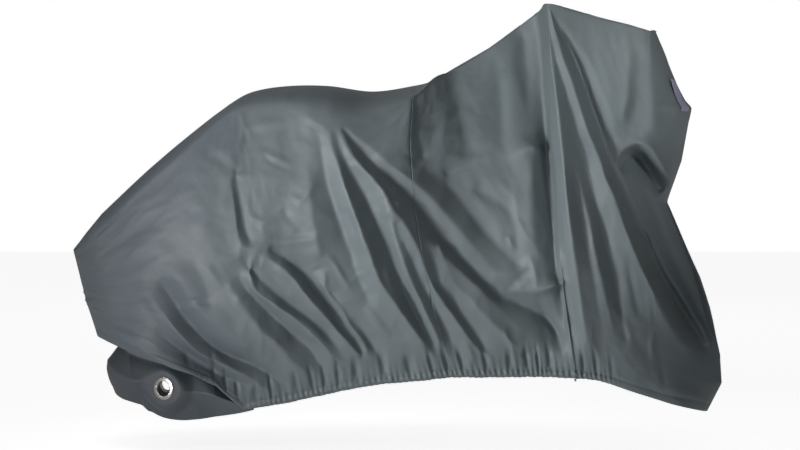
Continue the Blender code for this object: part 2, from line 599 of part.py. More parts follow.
def make_label(panel, mat, collection):
    """Plain woven patch on the front end, facing forwards, wrapped onto the panel."""
    angle, share = LABEL_AT
    middle = end_point("front", NEAR, angle, share)
    per_angle = np.linalg.norm(end_point("front", NEAR, angle + 0.01, share) - middle) / 0.01
    per_share = np.linalg.norm(end_point("front", NEAR, angle, share + 0.01) - middle) / 0.01
    width, height = LABEL_SIZE[0] / per_angle, LABEL_SIZE[1] / per_share
    lift = np.array((0.010, -0.010, 0.0))       # clear of the panel before it is wrapped onto it

    def point(i, k):
        at = (angle + width * (i / LABEL_CELLS - 0.5), share + height * (k / LABEL_CELLS - 0.5))
        return (i, k), end_point("front", NEAR, *at) + lift

    cells = [(i, k) for i in range(LABEL_CELLS) for k in range(LABEL_CELLS)]
    polygons = [[point(i, k), point(i + 1, k), point(i + 1, k + 1), point(i, k + 1)][::-1] for i, k in cells]
    obj = add_object("label_patch", sheet_mesh("label_patch", polygons), mat, collection)
    wrap = obj.modifiers.new("wrap", "SHRINKWRAP")
    wrap.target = panel
    wrap.wrap_method = "NEAREST_SURFACEPOINT"
    wrap.wrap_mode = "ABOVE_SURFACE"
    wrap.offset = LABEL_THICK + LABEL_GAP
    thicken(obj, LABEL_THICK)
    return obj


def main():
    for obj in list(bpy.data.objects):
        bpy.data.objects.remove(obj)
    parts = bpy.data.collections.new("bicycle_cover")
    cutters = bpy.data.collections.new("cutters")
    for collection in (parts, cutters):
        bpy.context.scene.collection.children.link(collection)
    cloth = material("coated_cloth", (0.115, 0.140, 0.150), 0.55)
    nickel = material("nickel", (0.66, 0.65, 0.62), 0.28, 1.0)
    patch = material("woven_patch", (0.16, 0.15, 0.24), 0.8)

    surface = {side: half_surface(side) for side in (NEAR, FAR)}
    last = surface[NEAR].shape[0] - 1
    panels = (("rear_panel", 0, REAR_COLUMNS, -1), ("front_panel", REAR_COLUMNS, last, 1))
    for name, first, end, inside in panels:
        own = draw_back(surface, REAR_COLUMNS, REAR_COLUMNS + inside)
        panel = add_object(name, sheet_mesh(name, cover_polygons(own, first, end)), cloth, parts)
        thicken(panel, CLOTH)
        if name == "front_panel":
            make_label(panel, patch, parts)
    make_strip(cloth, parts, cutters)
    make_eyelet("eyelet_near", NEAR, nickel, parts)
    make_eyelet("eyelet_far", FAR, nickel, parts)


main()
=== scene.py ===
import math

import bpy
import numpy as np
from mathutils import Matrix, Vector


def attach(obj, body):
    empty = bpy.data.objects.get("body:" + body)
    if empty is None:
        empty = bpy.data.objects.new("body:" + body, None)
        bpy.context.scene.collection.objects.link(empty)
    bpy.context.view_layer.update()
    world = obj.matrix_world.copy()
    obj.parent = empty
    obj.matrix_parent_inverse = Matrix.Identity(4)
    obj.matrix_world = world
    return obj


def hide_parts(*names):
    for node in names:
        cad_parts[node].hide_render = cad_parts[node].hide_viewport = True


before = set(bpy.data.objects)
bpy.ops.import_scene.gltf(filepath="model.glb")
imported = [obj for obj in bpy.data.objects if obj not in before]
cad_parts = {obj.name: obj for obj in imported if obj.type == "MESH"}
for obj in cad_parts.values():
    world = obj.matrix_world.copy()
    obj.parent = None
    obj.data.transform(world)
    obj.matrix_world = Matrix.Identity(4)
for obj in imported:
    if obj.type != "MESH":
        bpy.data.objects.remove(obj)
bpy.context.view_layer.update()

MM = 0.001
NEAR, FAR = -1, 1  # the cover's two sides, as signs of Y

# ----- the photograph's view
# Metres, +X to the bicycle's front, -Y to the near side, ground at 0, x = 0 in the photograph's middle.
SUPPORT = np.array((-0.130, 0.0, 0.960))  # the part's origin in that frame: the saddle's top
PIXEL = 2.75 * MM  # one pixel at the bicycle's middle plane
PHOTO = (800, 450)
EYE = np.array((0.0, -7.0, 0.950))
AIM_HEIGHT = 0.608  # height of the photograph's middle row on that plane

# ----- construction
CLOTH = 1.0 * MM
LABEL_CLOTH = 0.6 * MM
LABEL_SIZE = (60.0 * MM, 100.0 * MM)
LABEL_AT = (math.radians(55), 0.842)  # angle on the front end, share of its height
LABEL_LIFT = 2.2 * MM
LABEL_COLUMNS, LABEL_ROWS = 25, 37
LABEL_GUESS = (0.5, 0.1)  # its first span: (radians, share of the end's height)

EYELET_BORE = 41.0 * MM
EYELET_FLANGE = 63.0 * MM
EYELET_WASHER = 58.0 * MM
EYELET_HOLE = 48.0 * MM  # cut in the cloth
HOLE_CLEAR = 2.0 * MM  # how far the middles of the cloth's cells stay outside it
EYELET_AT = (-652 * MM, 157 * MM)
EYELET_REACH = 60.0 * MM  # the strip's surface within this reach places the eyelet
EYELET_CLOSE = 2.0 * MM  # points closer than this count about equally
EYELET_FLAT = (50.0 * MM, 85.0 * MM)  # the strip is flat up to here, and in its own shape from here
EYELET_STEPS = 64

# A stitch, as (share of its length, share of its width), and how it lies in the cloth.
STITCH = [(0.0, 0.25), (0.25, 1.0), (0.75, 1.0), (1.0, 0.25)]
STITCH_SUNK, STITCH_FLAT = 0.4, 0.6

STRIP_INSET = 12.0 * MM  # how far inside the panel the eyelet strip lies
STRIP_TUCK = 55.0 * MM  # how much further in its upper edge lies
TUCK_FROM, TUCK_OVER = 0.5, 0.3  # shares of the strip's height
STRIP_OVERLAP = 0.06  # what the panel covers of it, as a share of the side's height
STRIP_END = 2.8  # the section where it ends
STRIP_ROWS = 44
STRIP_UNEVEN, STRIP_UNEVEN_WIDE = 0.5 * MM, 4.0
STRIP_CALM = 40.0 * MM  # around the eyelet, and again until its full unevenness
SLACK, SLACK_LEAN, SLACK_WAVE = 9.0 * MM, 0.8, 21.0 * MM  # its folds: height, slope, pitch over 2 pi
SLACK_FROM, SLACK_OVER, SLACK_REAR = 75.0 * MM, 60.0 * MM, 80.0 * MM  # where they set in
FLAP_FROM = (-705 * MM, 250 * MM)  # the strip's corner beyond this place hangs as a flap
FLAP_OVER = 100.0 * MM
FLAP = (50.0 * MM, 55.0 * MM)  # how far the flap's corner lies beyond the panel's end

# Each row is a section across the cover (mm): the top's x, the near shoulder (y, z), the crown's z, the far
# shoulder (y, z), the belly halfway down the sides (x, z, near y, far y), the hem (x, z, near y, far y).
SECTIONS = [
    ("rear corner", -820, (-120, 590), 640, (120, 590), (-755, 310, -150, 140), (-685, 105, -100, 100)),
    ("rear slope", -700, (-180, 702), 752, (170, 702), (-645, 355, -225, 210), (-615, 85, -130, 140)),
    ("upper slope", -575, (-210, 808), 858, (190, 823), (-515, 425, -270, 250), (-500, 95, -165, 180)),
    ("rack edge", -465, (-210, 906), 941, (190, 931), (-405, 475, -285, 260), (-370, 125, -205, 205)),
    ("rack top", -400, (-220, 920), 975, (200, 965), (-345, 500, -290, 265), (-290, 140, -215, 210)),
    ("roof rear", -305, (-246, 925), 990, (200, 980), (-250, 525, -295, 270), (-200, 160, -220, 210)),
    ("saddle", -195, (-280, 890), 990, (210, 985), (-130, 545, -300, 270), (-75, 185, -220, 210)),
    ("roof dip", -75, (-260, 900), 975, (210, 975), (-40, 585, -295, 265), (40, 195, -215, 210)),
    ("seam", 35, (-220, 955), 990, (200, 985), (45, 630, -290, 260), (140, 205, -210, 205)),
    ("step", 90, (-165, 1010), 1005, (200, 990), (135, 660, -265, 250), (230, 205, -200, 200)),
    ("lamp", 150, (-120, 1035), 1040, (190, 1015), (240, 675, -250, 245), (310, 205, -195, 195)),
    ("rise", 245, (-110, 1095), 1095, (200, 1065), (330, 660, -250, 250), (395, 205, -190, 190)),
    ("behind the grip", 367, (-130, 1185), 1168, (228, 1126), (406, 652, -264, 258), (468, 200, -186, 182)),
    ("near grip", 388, (-268, 1205), 1185, (230, 1135), (421, 650, -280, 260), (481, 200, -185, 180)),
    ("dip", 475, (-260, 1185), 1185, (250, 1165), (505, 640, -265, 260), (550, 190, -175, 180)),
    ("far grip", 580, (-240, 1155), 1165, (240, 1150), (585, 630, -230, 240), (640, 160, -155, 170)),
    ("front corner", 665, (-215, 1135), 1140, (190, 1125), (670, 610, -160, 180), (740, 125, -110, 130)),
]
SEAM_ROW = 8
# Outlines of the two ends (x, z), from the hem up.
REAR_NOSE = [(-778, 170), (-785, 185), (-810, 225), (-830, 290), (-865, 400), (-900, 540), (-893, 549)]
FRONT_NOSE = [(850, 92), (890, 170), (885, 245), (855, 380), (825, 465), (735, 670), (775, 785),
              (800, 930), (782, 950), (760, 995), (715, 1100), (695, 1137)]
OVERHANG = [(0.0, 0.43), (1.0, 0.305), (2.0, 0.15), (2.6, 0.0)]  # (section, share of the side's height)

# ----- folds
# Crests, troughs and breaks of the near side, traced one by one: (name, softness in pixels,
# [(x, y in the photograph's pixels, height in mm, outwards positive)]).
NEAR_LINES = [
    ("rear facet, right edge", 3, [(304,150,0), (308,175,4), (311,200,8), (314,222,8), (317,240,6),
     (320,256,2)]),
    ("hollow left of the saddle cone", 2.5, [(320,135,0), (322,150,-2), (324,165,-5), (327,180,-9),
     (331,195,-13), (336,210,-15), (341,225,-16), (346,240,-16), (352,255,-16), (356,270,-14),
     (362,285,-12), (368,300,-6), (374,314,0)]),
    ("saddle cone, first ridge", 2.5, [(329,126,4), (331,138,8), (333,150,11), (339,165,15), (343,180,18),
     (348,195,20), (353,210,21), (359,225,22), (364,240,22), (370,255,22), (375,270,22), (382,285,22),
     (393,300,20), (404,315,18), (415,330,14), (425,345,9), (429,358,4)]),
    ("saddle cone, first trough", 1.5, [(336,132,5), (341,150,4), (348,165,2), (356,180,0), (365,195,-4),
     (371,210,-8), (378,225,-11), (385,240,-13), (391,255,-15), (396,270,-16), (402,285,-18), (409,300,-20),
     (416,315,-20), (425,330,-16), (434,345,-9), (438,356,-3)]),
    ("saddle cone, second ridge", 2.5, [(340,127,7), (350,150,13), (361,165,17), (375,180,20), (386,195,22),
     (391,210,20), (393,225,16), (396,240,13), (401,255,12), (406,270,11), (412,285,9), (420,300,6),
     (426,315,3), (434,330,2), (441,345,1)]),
    ("trough between the branches", 1.5, [(396,222,14), (401,238,8), (410,254,2), (417,270,-2),
     (423,285,-7), (432,300,-13), (439,315,-17), (446,330,-18), (453,345,-12), (457,357,-4)]),
    ("its right branch", 1.5, [(392,206,20), (403,222,15), (413,238,12), (421,255,9), (426,270,5),
     (433,285,0), (442,300,-3), (453,315,-3), (463,330,-2), (474,345,0), (486,356,0)]),
    ("second trough below the deep one", 1.5, [(430,250,-6), (437,268,-12), (441,285,-16), (453,300,-20),
     (462,315,-20), (474,330,-18), (484,345,-12), (493,358,-4)]),
    ("ridge below the deep trough", 2, [(440,246,-8), (446,262,-10), (455,283,-10), (463,292,-10),
     (472,300,-9), (484,315,-6), (500,330,-3), (516,347,0)]),
    ("edge above the deep trough", 2, [(398,204,12), (410,219,2), (420,231,-4), (431,243,-8), (443,255,-12),
     (457,268,-14), (474,283,-16), (490,298,-18), (504,314,-20), (518,332,-18)]),
    ("saddle cone, deep trough", 1.5, [(344,129,2), (352,138,0), (362,150,-3), (373,165,-8), (393,180,-17),
     (410,195,-25), (423,210,-31), (434,225,-36), (445,240,-39), (459,255,-41), (473,270,-42),
     (488,285,-42), (504,298,-46)]),
    ("saddle cone, long ridge", 2, [(341,124,6), (356,137,6), (374,150,5), (389,165,1), (410,180,-4),
     (428,195,-10), (442,210,-15), (455,225,-20), (468,240,-25), (481,255,-30), (493,269,-32),
     (510,280,-30), (528,286,-26), (546,288,-24), (562,284,-22)]),
    ("hollow under the long ridge's end", 2.5, [(500,294,-40), (516,302,-54), (534,310,-66), (548,320,-74),
     (558,334,-66), (562,352,-30)]),
    ("valley beside the long ridge", 3, [(408,155,-16), (425,168,-24), (442,180,-33), (456,194,-39),
     (466,207,-42), (476,220,-43), (487,233,-43), (498,245,-42), (509,256,-40), (520,266,-36)]),
    ("upper edge of the flat facet", 1.5, [(446,174,-40), (461,170,-34), (480,165,-28), (499,161,-24),
     (522,151,-20), (537,148,-18)]),
    ("flat facet, middle", 4, [(475,190,-44), (495,200,-38), (512,215,-35), (520,238,-34)]),
    ("flat facet, right edge", 4, [(531,150,-32), (532,175,-28), (532,200,-28), (533,225,-29),
     (536,250,-30), (541,270,-29)]),
    ("roof beside the seam", 3, [(417,98,-8), (418,120,-14), (420,140,-20), (424,158,-32)]),
    ("first swell of the sloping roof", 5, [(452,85,-26), (458,105,-30), (464,130,-34), (470,148,-36)]),
    ("second swell of the sloping roof", 5, [(496,60,-34), (500,90,-50), (502,120,-50), (503,145,-36)]),
    ("edge of the sloping roof", 4, [(522,35,-42), (525,60,-60), (527,90,-72), (528,115,-68),
     (529,138,-50)]),
    ("seam line", 3, [(411,100,2), (410,128,-2), (409,150,-6), (411,172,-14)]),
    ("hollow behind the grip cone", 1.5, [(542,16,-26), (542,40,-54), (543,70,-76), (544,105,-86),
     (546,135,-84), (548,165,-78), (550,195,-76), (553,225,-72), (555,250,-62), (557,270,-54),
     (562,295,-56), (565,320,-60), (567,345,-34)]),
    ("grip cone, first ridge", 2, [(546,10,0), (548,30,-6), (550,60,-14), (555,90,-17), (558,110,-17),
     (561,135,-16), (564,165,-15), (567,195,-14), (571,225,-13), (574,250,-12), (578,275,-10), (582,305,-8),
     (587,335,-4), (592,356,-2)]),
    ("grip cone, first trough", 1.5, [(548,12,-5), (552,35,-14), (557,60,-22), (565,90,-30), (570,110,-34),
     (576,135,-38), (584,155,-42), (590,180,-45), (596,205,-46), (602,225,-44), (607,245,-40),
     (612,265,-34), (618,290,-28), (622,315,-20), (628,340,-10)]),
    ("grip cone, thin ridge", 1, [(576,165,-34), (583,195,-31), (587,210,-29), (591,225,-26), (594,240,-22),
     (597,255,-18), (600,270,-15), (604,285,-13), (607,300,-11), (611,315,-9), (614,330,-7), (618,350,-3)]),
    ("trough left of the thin ridge", 1, [(574,172,-40), (578,195,-39), (582,215,-37), (586,235,-32),
     (590,255,-26), (595,280,-20), (600,310,-14), (606,340,-6)]),
    ("grip cone, broad ridge", 2, [(549,9,0), (556,35,-2), (564,60,-4), (570,75,-6), (575,90,-8),
     (585,120,-10), (590,135,-12), (597,150,-13), (603,165,-13), (608,180,-12), (615,195,-9), (621,210,-4),
     (626,225,2), (632,240,9), (638,255,16), (645,270,22), (652,285,26), (659,300,27), (668,317,24),
     (678,335,16), (688,350,6)]),
    ("grip cone, deep trough", 1, [(550,8,-4), (558,26,-12), (567,45,-24), (575,62,-32), (581,75,-36),
     (586,90,-40), (591,105,-43), (597,120,-46), (602,135,-50), (607,150,-54), (613,165,-58), (620,180,-62),
     (627,195,-66), (634,210,-70), (640,225,-74), (647,240,-79), (653,255,-84), (660,270,-88),
     (668,285,-90), (678,301,-88), (687,317,-78), (698,334,-56), (706,350,-28)]),
    ("far side of the deep trough", 3, [(563,22,-2), (582,50,-4), (596,75,-4), (606,100,-5), (613,120,-9),
     (618,136,-18)]),
    ("big facet, middle", 5, [(600,35,6), (612,60,10), (618,85,12), (622,105,10)]),
    ("big facet, right edge", 3, [(626,35,20), (630,60,26), (629,85,26), (627,105,22), (624,120,10)]),
    ("valley under the far grip", 3, [(640,60,27), (637,80,24), (635,100,18), (631,120,8), (626,136,-6)]),
    ("upright ridge", 3, [(643,42,30), (649,65,37), (653,90,43), (654,110,45), (655,130,44)]),
    ("front edge", 4, [(659,50,40), (668,75,52), (675,100,58), (680,125,50), (678,150,34)]),
    ("lip of the pocket", 1, [(618,162,-46), (622,152,-28), (631,145,-6), (642,144,18), (653,152,36),
     (661,163,46), (668,174,48), (674,184,38)]),
    ("pocket", 1.5, [(622,170,-76), (632,157,-88), (640,157,-90), (648,167,-90), (655,179,-88),
     (662,191,-86)]),
    ("ridge in the hollow", 1, [(619,163,-52), (626,180,-58), (632,195,-62), (639,210,-65), (645,225,-68),
     (652,240,-69), (659,255,-69), (665,270,-67), (675,285,-62), (685,300,-54), (694,315,-42),
     (705,330,-26), (711,345,-10)]),
    ("hollow before the wheel", 3, [(648,192,-82), (658,220,-90), (670,250,-92), (682,275,-88),
     (694,300,-78), (706,325,-54), (712,345,-28)]),
    ("front skirt, lower edge", 4, [(640,376,4), (662,386,12), (686,396,20), (704,402,20)]),
    ("packing crease, upright", 1, [(229,120,0), (230,150,3), (231,170,5), (232,185,7), (234,200,9),
     (236,215,10), (238,230,10), (242,245,9), (256,250,6), (270,247,2)]),
    ("valley right of it", 1.5, [(236,170,0), (238,190,0), (241,205,-2), (244,220,-4), (247,235,-5),
     (252,243,-3)]),
    ("packing fold, crest", 1.5, [(262,250,2), (268,258,2), (288,273,3), (301,288,2), (312,303,1),
     (327,319,0), (337,331,-2), (350,345,-3), (361,356,-2)]),
    ("packing fold, trough", 1, [(272,250,-8), (286,259,-20), (303,273,-27), (314,288,-32), (328,304,-34),
     (337,316,-33), (346,329,-28), (358,344,-22), (363,360,-10)]),
    ("packing fold, second crest", 1.5, [(318,280,-12), (330,297,-10), (340,308,-9), (348,322,-8),
     (361,341,-10), (368,352,-6)]),
    ("packing fold, second trough", 1, [(330,292,-14), (340,304,-14), (352,318,-16), (363,331,-20),
     (371,344,-22), (382,360,-14), (388,372,-2)]),
    ("crest below the packing fold", 1.5, [(250,262,4), (254,290,8), (273,305,8), (295,320,7), (311,335,5),
     (326,350,2), (336,366,0)]),
    ("rear trough, upper", 1.5, [(246,262,-4), (255,275,-8), (272,290,-12), (290,305,-15), (312,320,-16),
     (328,335,-15), (338,348,-10), (344,362,-4)]),
    ("rear trough, middle", 1.5, [(238,277,-2), (247,290,-8), (262,305,-16), (277,320,-24), (293,335,-28),
     (311,350,-26), (320,365,-18), (332,380,-6)]),
    ("crest below the middle trough", 3, [(228,282,4), (233,292,6), (242,306,8), (252,320,9), (264,335,9),
     (280,348,7), (290,362,3), (306,374,0)]),
    ("rear trough, lower", 1.5, [(150,262,0), (158,275,-5), (166,290,-11), (176,305,-17), (186,320,-23),
     (200,335,-28), (217,350,-34), (238,360,-36), (254,366,-34), (276,380,-22), (290,391,-8)]),
    ("rear flank above that trough", 4, [(175,275,6), (192,300,6), (206,318,4), (226,334,2), (248,350,0)]),
    ("rear ridge", 1.5, [(138,276,4), (145,290,7), (155,305,9), (167,320,11), (179,335,11), (191,349,8),
     (204,358,4), (222,366,2), (246,378,0), (262,388,0)]),
    ("small trough", 1.5, [(157,333,4), (170,343,-2), (182,351,-8), (202,365,-10), (226,378,-12),
     (250,388,-8)]),
    ("overhang, edge", 1.5, [(101,331,16), (113,338,26), (129,345,34), (146,354,38), (164,363,40),
     (182,371,40), (200,380,36), (216,388,26), (232,396,14), (242,401,6)]),
    ("break of the rear flank", 4, [(196,186,2), (199,205,4), (206,232,5), (217,254,4), (227,272,2)]),
    ("rear flank hollow", 5, [(150,215,-2), (165,240,-4), (192,252,-3), (200,275,-4), (210,300,-4)]),
    ("upper edge of the rear facet", 3, [(190,182,3), (215,177,6), (255,176,7), (290,180,6), (312,186,4)]),
]
# Folds of the far side, on the same elevation.
FAR_LINES = [
    ("saddle, rear fold", 3, [(332,140,0), (320,180,-28), (308,245,-42), (298,330,-36), (294,375,0)]),
    ("saddle, middle fold", 3, [(340,140,0), (356,170,-30), (374,245,-42), (388,315,-32), (396,355,0)]),
    ("saddle, ridge", 4, [(336,140,4), (340,190,12), (346,250,14), (350,320,8)]),
    ("saddle, front fold", 3, [(350,140,0), (396,170,-42), (442,225,-56), (482,285,-46), (508,335,0)]),
    ("grip, rear fold", 3, [(612,60,0), (602,118,-34), (594,192,-46), (590,275,-38), (588,350,0)]),
    ("grip, ridge", 4, [(618,60,4), (620,130,12), (622,210,12), (624,300,6)]),
    ("grip, front fold", 3, [(618,60,0), (632,118,-32), (642,192,-42), (650,265,-32), (660,345,0)]),
    ("rear fold, lower", 3, [(168,258,0), (208,305,-32), (256,345,-38), (292,378,0)]),
    ("rear fold, upper", 3, [(234,245,0), (282,290,-36), (328,335,-36), (354,368,0)]),
    ("hollow behind the grip", 6, [(520,120,0), (517,190,-28), (510,270,-28), (506,340,0)]),
]
# Narrow creases between the near side's folds: (height in mm, outwards positive, reach in pixels to each
# side, [(x, y in the photograph's pixels)]).
CREASES = [
    (3.0, 5, [(326,296), (338,316), (355,336), (361,346)]), (-2.5, 4, [(330,293), (343,313), (357,330)]),
    (2.5, 5, [(300,320), (313,330), (333,349)]), (-2.5, 4, [(300,333), (317,348), (333,361), (350,373)]),
    (2.0, 6, [(260,150), (267,153), (275,158), (292,163)]), (-2.0, 5, [(262,156), (277,164), (290,170)]),
    (2.5, 6, [(289,193), (301,200), (316,183)]), (2.5, 7, [(268,243), (294,242), (320,239)]),
    (-2.0, 6, [(270,236), (296,235), (318,232)]), (3.0, 5, [(325,256), (333,262), (341,275), (350,290)]),
    (2.5, 4, [(324,272), (325,281), (324,291)]), (-2.0, 4, [(310,272), (318,270), (328,267)]),
    (2.0, 5, [(220,257), (230,258), (242,258)]), (2.0, 5, [(176,308), (190,308), (208,308)]),
    (-2.5, 5, [(186,300), (200,302), (214,300)]), (3.0, 7, [(383,218), (387,213), (391,210), (400,221)]),
    (3.0, 5, [(509,235), (511,243), (514,251)]), (3.0, 6, [(522,259), (532,263), (536,280), (537,292)]),
    (2.5, 5, [(505,326), (510,346), (517,369)]), (-3.0, 5, [(522,358), (530,354), (538,351)]),
    (3.0, 5, [(463,341), (471,354), (473,369)]), (2.5, 6, [(431,117), (444,112), (458,107)]),
    (-2.5, 5, [(421,127), (440,124), (457,120)]), (2.0, 6, [(432,137), (450,134), (468,128)]),
    (4.0, 8, [(491,278), (510,273), (531,268)]), (-3.0, 6, [(507,292), (519,279), (532,268)]),
    (5.0, 6, [(508,291), (524,292), (538,292), (552,288), (566,280)]),
    (-4.0, 5, [(537,296), (543,310), (552,326), (560,338)]), (3.0, 5, [(656,334), (653,345), (655,361)]),
    (2.5, 6, [(234,300), (243,296), (254,297)]), (-2.5, 6, [(344,210), (352,224), (356,240)]),
    (2.5, 7, [(196,262), (208,270), (222,288)]), (-2.0, 8, [(205,152), (220,160), (232,172)]),
    (2.0, 8, [(238,131), (262,124), (290,122)]), (2.5, 7, [(300,112), (316,122), (328,130)]),
    (-2.0, 8, [(352,104), (368,110), (386,112)]), (2.5, 8, [(470,100), (486,92), (505,70)]),
    (-2.5, 8, [(446,150), (470,152), (492,144)]), (2.0, 8, [(468,175), (478,196), (492,216)]),
    (2.0, 7, [(596,50), (606,74), (612,100)]), (-2.5, 5, [(562,245), (566,262), (566,280)]),
    (2.5, 5, [(566,282), (568,304), (572,330)]), (-2.5, 5, [(628,262), (634,290), (640,318)]),
    (2.0, 6, [(612,306), (626,326), (636,350)]), (2.5, 6, [(246,214), (262,222), (278,218)]),
    (-2.0, 6, [(282,208), (292,222), (306,230)]), (3.0, 5, [(384,262), (390,282), (400,300)]),
    (2.5, 5, [(430,284), (436,300), (448,312)]), (-2.5, 6, [(140,300), (150,318), (166,332)]),
    (2.5, 6, [(366,306), (376,322), (390,338)]), (-2.0, 6, [(260,268), (276,280), (290,296)]),
]
RELIEF = 0.75  # times each line's height
FADE = 30  # pixels over which a line's height dies away from it
SOFTEN = 0.7  # times the softness of each line
SOFTNESS_FADE, SOFTNESS_BLUR = 60.0, 2.0  # pixels
BLURS = (1.0, 2.0, 4.0, 8.0)  # the softnesses that are mixed, in pixels
DEEPEN = 0.75  # share by which the folds stand out more than their lines say
DEEPEN_WITHIN = 14.0  # among the forms smaller than this, in pixels
CREASE_RELIEF = 1.6  # times each crease's height
CREASE_TAPER = 0.6  # how bluntly a crease ends
CREASE_BLUR = 0.6  # pixels
ROOF_FADE = 1.5  # how fast the folds die away over the roof

# ----- unevenness and gathered hem
SEED = 11
UNEVEN = [(1.1 * MM, 7.0), (0.35 * MM, 2.5)]  # (height, width in cells of the sheet's grid)
RIDGED = [(1.5 * MM, 10.0), (0.7 * MM, 5.0)]  # the same, with sharp ridges
CALM, CALM_BELOW = 0.3, 30.0 * MM  # share that is left of these at the hem, rising up to here
NOSE_COLUMNS = 6  # columns at each nose over which they die away
HEM_WIDTH = 24.0 * MM  # casing at the lower edge, drawn up by its elastic
GATHER_FROM, GATHER_TO = -0.60, 0.62  # where the elastic gathers the hem, along X
GATHER_IN, GATHER_OUT = 0.12, 0.10  # lengths over which the gathers set in and die away
WANDER_WIDE = 8.0  # the gathers' irregularity, in cells
PLEAT, PLEAT_TALL, PLEAT_WANDER = 14.5 * MM, 2.4 * MM, 1.56  # pitch, height, irregularity (radians)
BUNCH, BUNCH_TALL, BUNCH_WANDER, BUNCH_START = 52.0 * MM, 1.4 * MM, 1.80, 1.3
PLEAT_LOSS = 0.35  # share of the pleats lost from the edge to the casing's top
PLEAT_FADE = 18.0 * MM  # length over which they die away above it
PUFF = 3.5 * MM  # roundness of the casing
GROOVE, GROOVE_WIDE, GROOVE_PLAIN = 3.2 * MM, 3.4 * MM, 0.45  # its seam: depth, width, share ungathered
HOLLOW, HOLLOW_AT, HOLLOW_WIDE = 9.0 * MM, 50.0 * MM, 32.0 * MM  # between the bunches above the casing
TURN, TURN_WIDE = 8.0 * MM, 7.0 * MM  # how far the hem's edge turns in
EDGE_RISE = (1.5 * MM, 0.9 * MM)  # how far pleats and bunches lift the edge
EDGE_ROWS = 3

# ----- resolution
STEPS = 30  # columns between two sections
END_STEPS = 30  # columns around each half of an end
LEVELS = 216  # rows from the hem to the shoulder
ROOF_STEPS = 16  # rows from the shoulder to the crown
HEM_ROWS = 16  # how many of LEVELS lie in the fine band at the hem
HEM_FINE = 56.0 * MM  # that band's height
HEM_FINE_SHARE = 0.2  # and its largest share of the side
END_TANGENT = 0.1  # stretch of the side, in sections, whose direction an end takes over
SEAM_COLUMN = END_STEPS + SEAM_ROW * STEPS
FIELD_AT = (40, -20)  # first pixel of the fields of heights
FIELD_SIZE = (704, 464)  # in pixels, a multiple of 8
FIELD_CELLS = ((8, 260), (4, 160), (2, 120), (1, 90))  # (pixels a cell, rounds of smoothing)

# ----- colours and light
CLOTH_FRONT = (0.144, 0.174, 0.186)
# painted shade: the rear's colour is darker than the front's, standing in for the shade on the rear flank,
# and bluer
CLOTH_REAR_PAINTED_SHADE = (0.109, 0.129, 0.151)
CLOTH_PALE = (0.178, 0.212, 0.222)
CLOTH_DUST = (0.200, 0.230, 0.240)
STRIP_PAINTED_SHADE = 0.70  # painted shade: the strip, folded inwards under the panel, is drawn this much darker
NICKEL, NICKEL_DULL = (0.52, 0.50, 0.47), (0.36, 0.34, 0.30)
PATCH_DARK, PATCH_PALE = (0.30, 0.29, 0.42), (0.42, 0.41, 0.53)
THREAD_DARK, THREAD_PALE = (0.07, 0.09, 0.10), (0.14, 0.16, 0.17)
WHITE = (1.0, 1.0, 1.0)
FLOOR = (0.86, 0.86, 0.86)
FLOOR_HALF = 9.0  # half the floor's side (m)

# Each light: name, place, what it is aimed at, size (m), power (W), spread (degrees).
LIGHTS = [("key", (-3.2, -2.9, 0.45), (0.40, -0.2, 0.72), 0.9, 5.6, 32),
          ("low", (-0.4, -2.1, 0.14), (0.0, 0.0, 0.6), 0.6, 1.5, 180),
          ("high", (-1.4, -3.0, 1.9), (0.0, 0.0, 0.6), 1.2, 7, 180),
          ("front", (2.2, -3.2, 1.6), (0.68, -0.2, 1.02), 0.5, 0.4, 13),
          ("roof", (-1.1, -0.5, 3.2), (-0.40, -0.1, 0.92), 0.8, 0.8, 40),
          ("back", (0.3, 4.5, 2.6), (0.0, 0.0, 0.6), 2.5, 4, 180)]
AMBIENT = 0.11
FLOOR_GLOW = (0.22, 0.84)  # what the floor gives the cover, and the camera


# ----- curves and fields
def ramp(value, start, over):
    """Share that rises from 0 at start to 1 at start + over."""
    return np.clip((value - start) / over, 0, 1)


def between(a, b, c, d, t):
    """Smooth step (Catmull-Rom) from b to c, whose neighbours are a and d."""
    return 0.5 * (2 * b + (c - a) * t + (2 * a - 5 * b + 4 * c - d) * t ** 2
                  + (3 * b - a - 3 * c + d) * t ** 3)


def evenly(line, step=0.5, per=8):
    """Points on a smooth curve along the line, about `step` pixels apart."""
    p = np.array(line, float)
    ends = np.vstack([2 * p[0] - p[1], p, 2 * p[-1] - p[-2]])
    t = (np.arange(per) / per)[:, None]
    p = np.vstack([between(*four, t) for four in zip(ends, ends[1:], ends[2:], ends[3:])] + [p[-1:]])
    length = np.concatenate([[0], np.cumsum(np.hypot(*np.diff(p[:, :2], axis=0).T))])
    at = np.arange(0, length[-1], step)
    return np.stack([np.interp(at, length, p[:, k]) for k in range(p.shape[1])], axis=1)


def relax(samples, fade):
    """Membrane stretched over the samples (x, y, value), which dies away over `fade` pixels."""
    width, height = FIELD_SIZE
    x, y = samples[:, 0] - FIELD_AT[0], samples[:, 1] - FIELD_AT[1]
    inside = (x > 0) & (y > 0) & (x < width - 1) & (y < height - 1)
    x, y, value = x[inside], y[inside], samples[inside, 2]
    field = None
    for cell, count in FIELD_CELLS:
        shape = (height // cell, width // cell)
        at = (y / cell).astype(int) * shape[1] + (x / cell).astype(int)
        total = np.bincount(at, value, shape[0] * shape[1]).reshape(shape)
        hits = np.bincount(at, minlength=shape[0] * shape[1]).reshape(shape)
        held = hits > 0
        target = total[held] / hits[held]
        if field is None:
            field = np.zeros(shape)
        else:
            field = np.kron(field, np.ones((2, 2)))[:shape[0], :shape[1]]
        keep = 1 / (1 + (cell / fade) ** 2 / 4)
        for _ in range(count):
            field[held] = target
            p = np.pad(field, 1, mode="edge")
            field = (p[:-2, 1:-1] + p[2:, 1:-1] + p[1:-1, :-2] + p[1:-1, 2:]) / 4 * keep
        field[held] = target
    return field


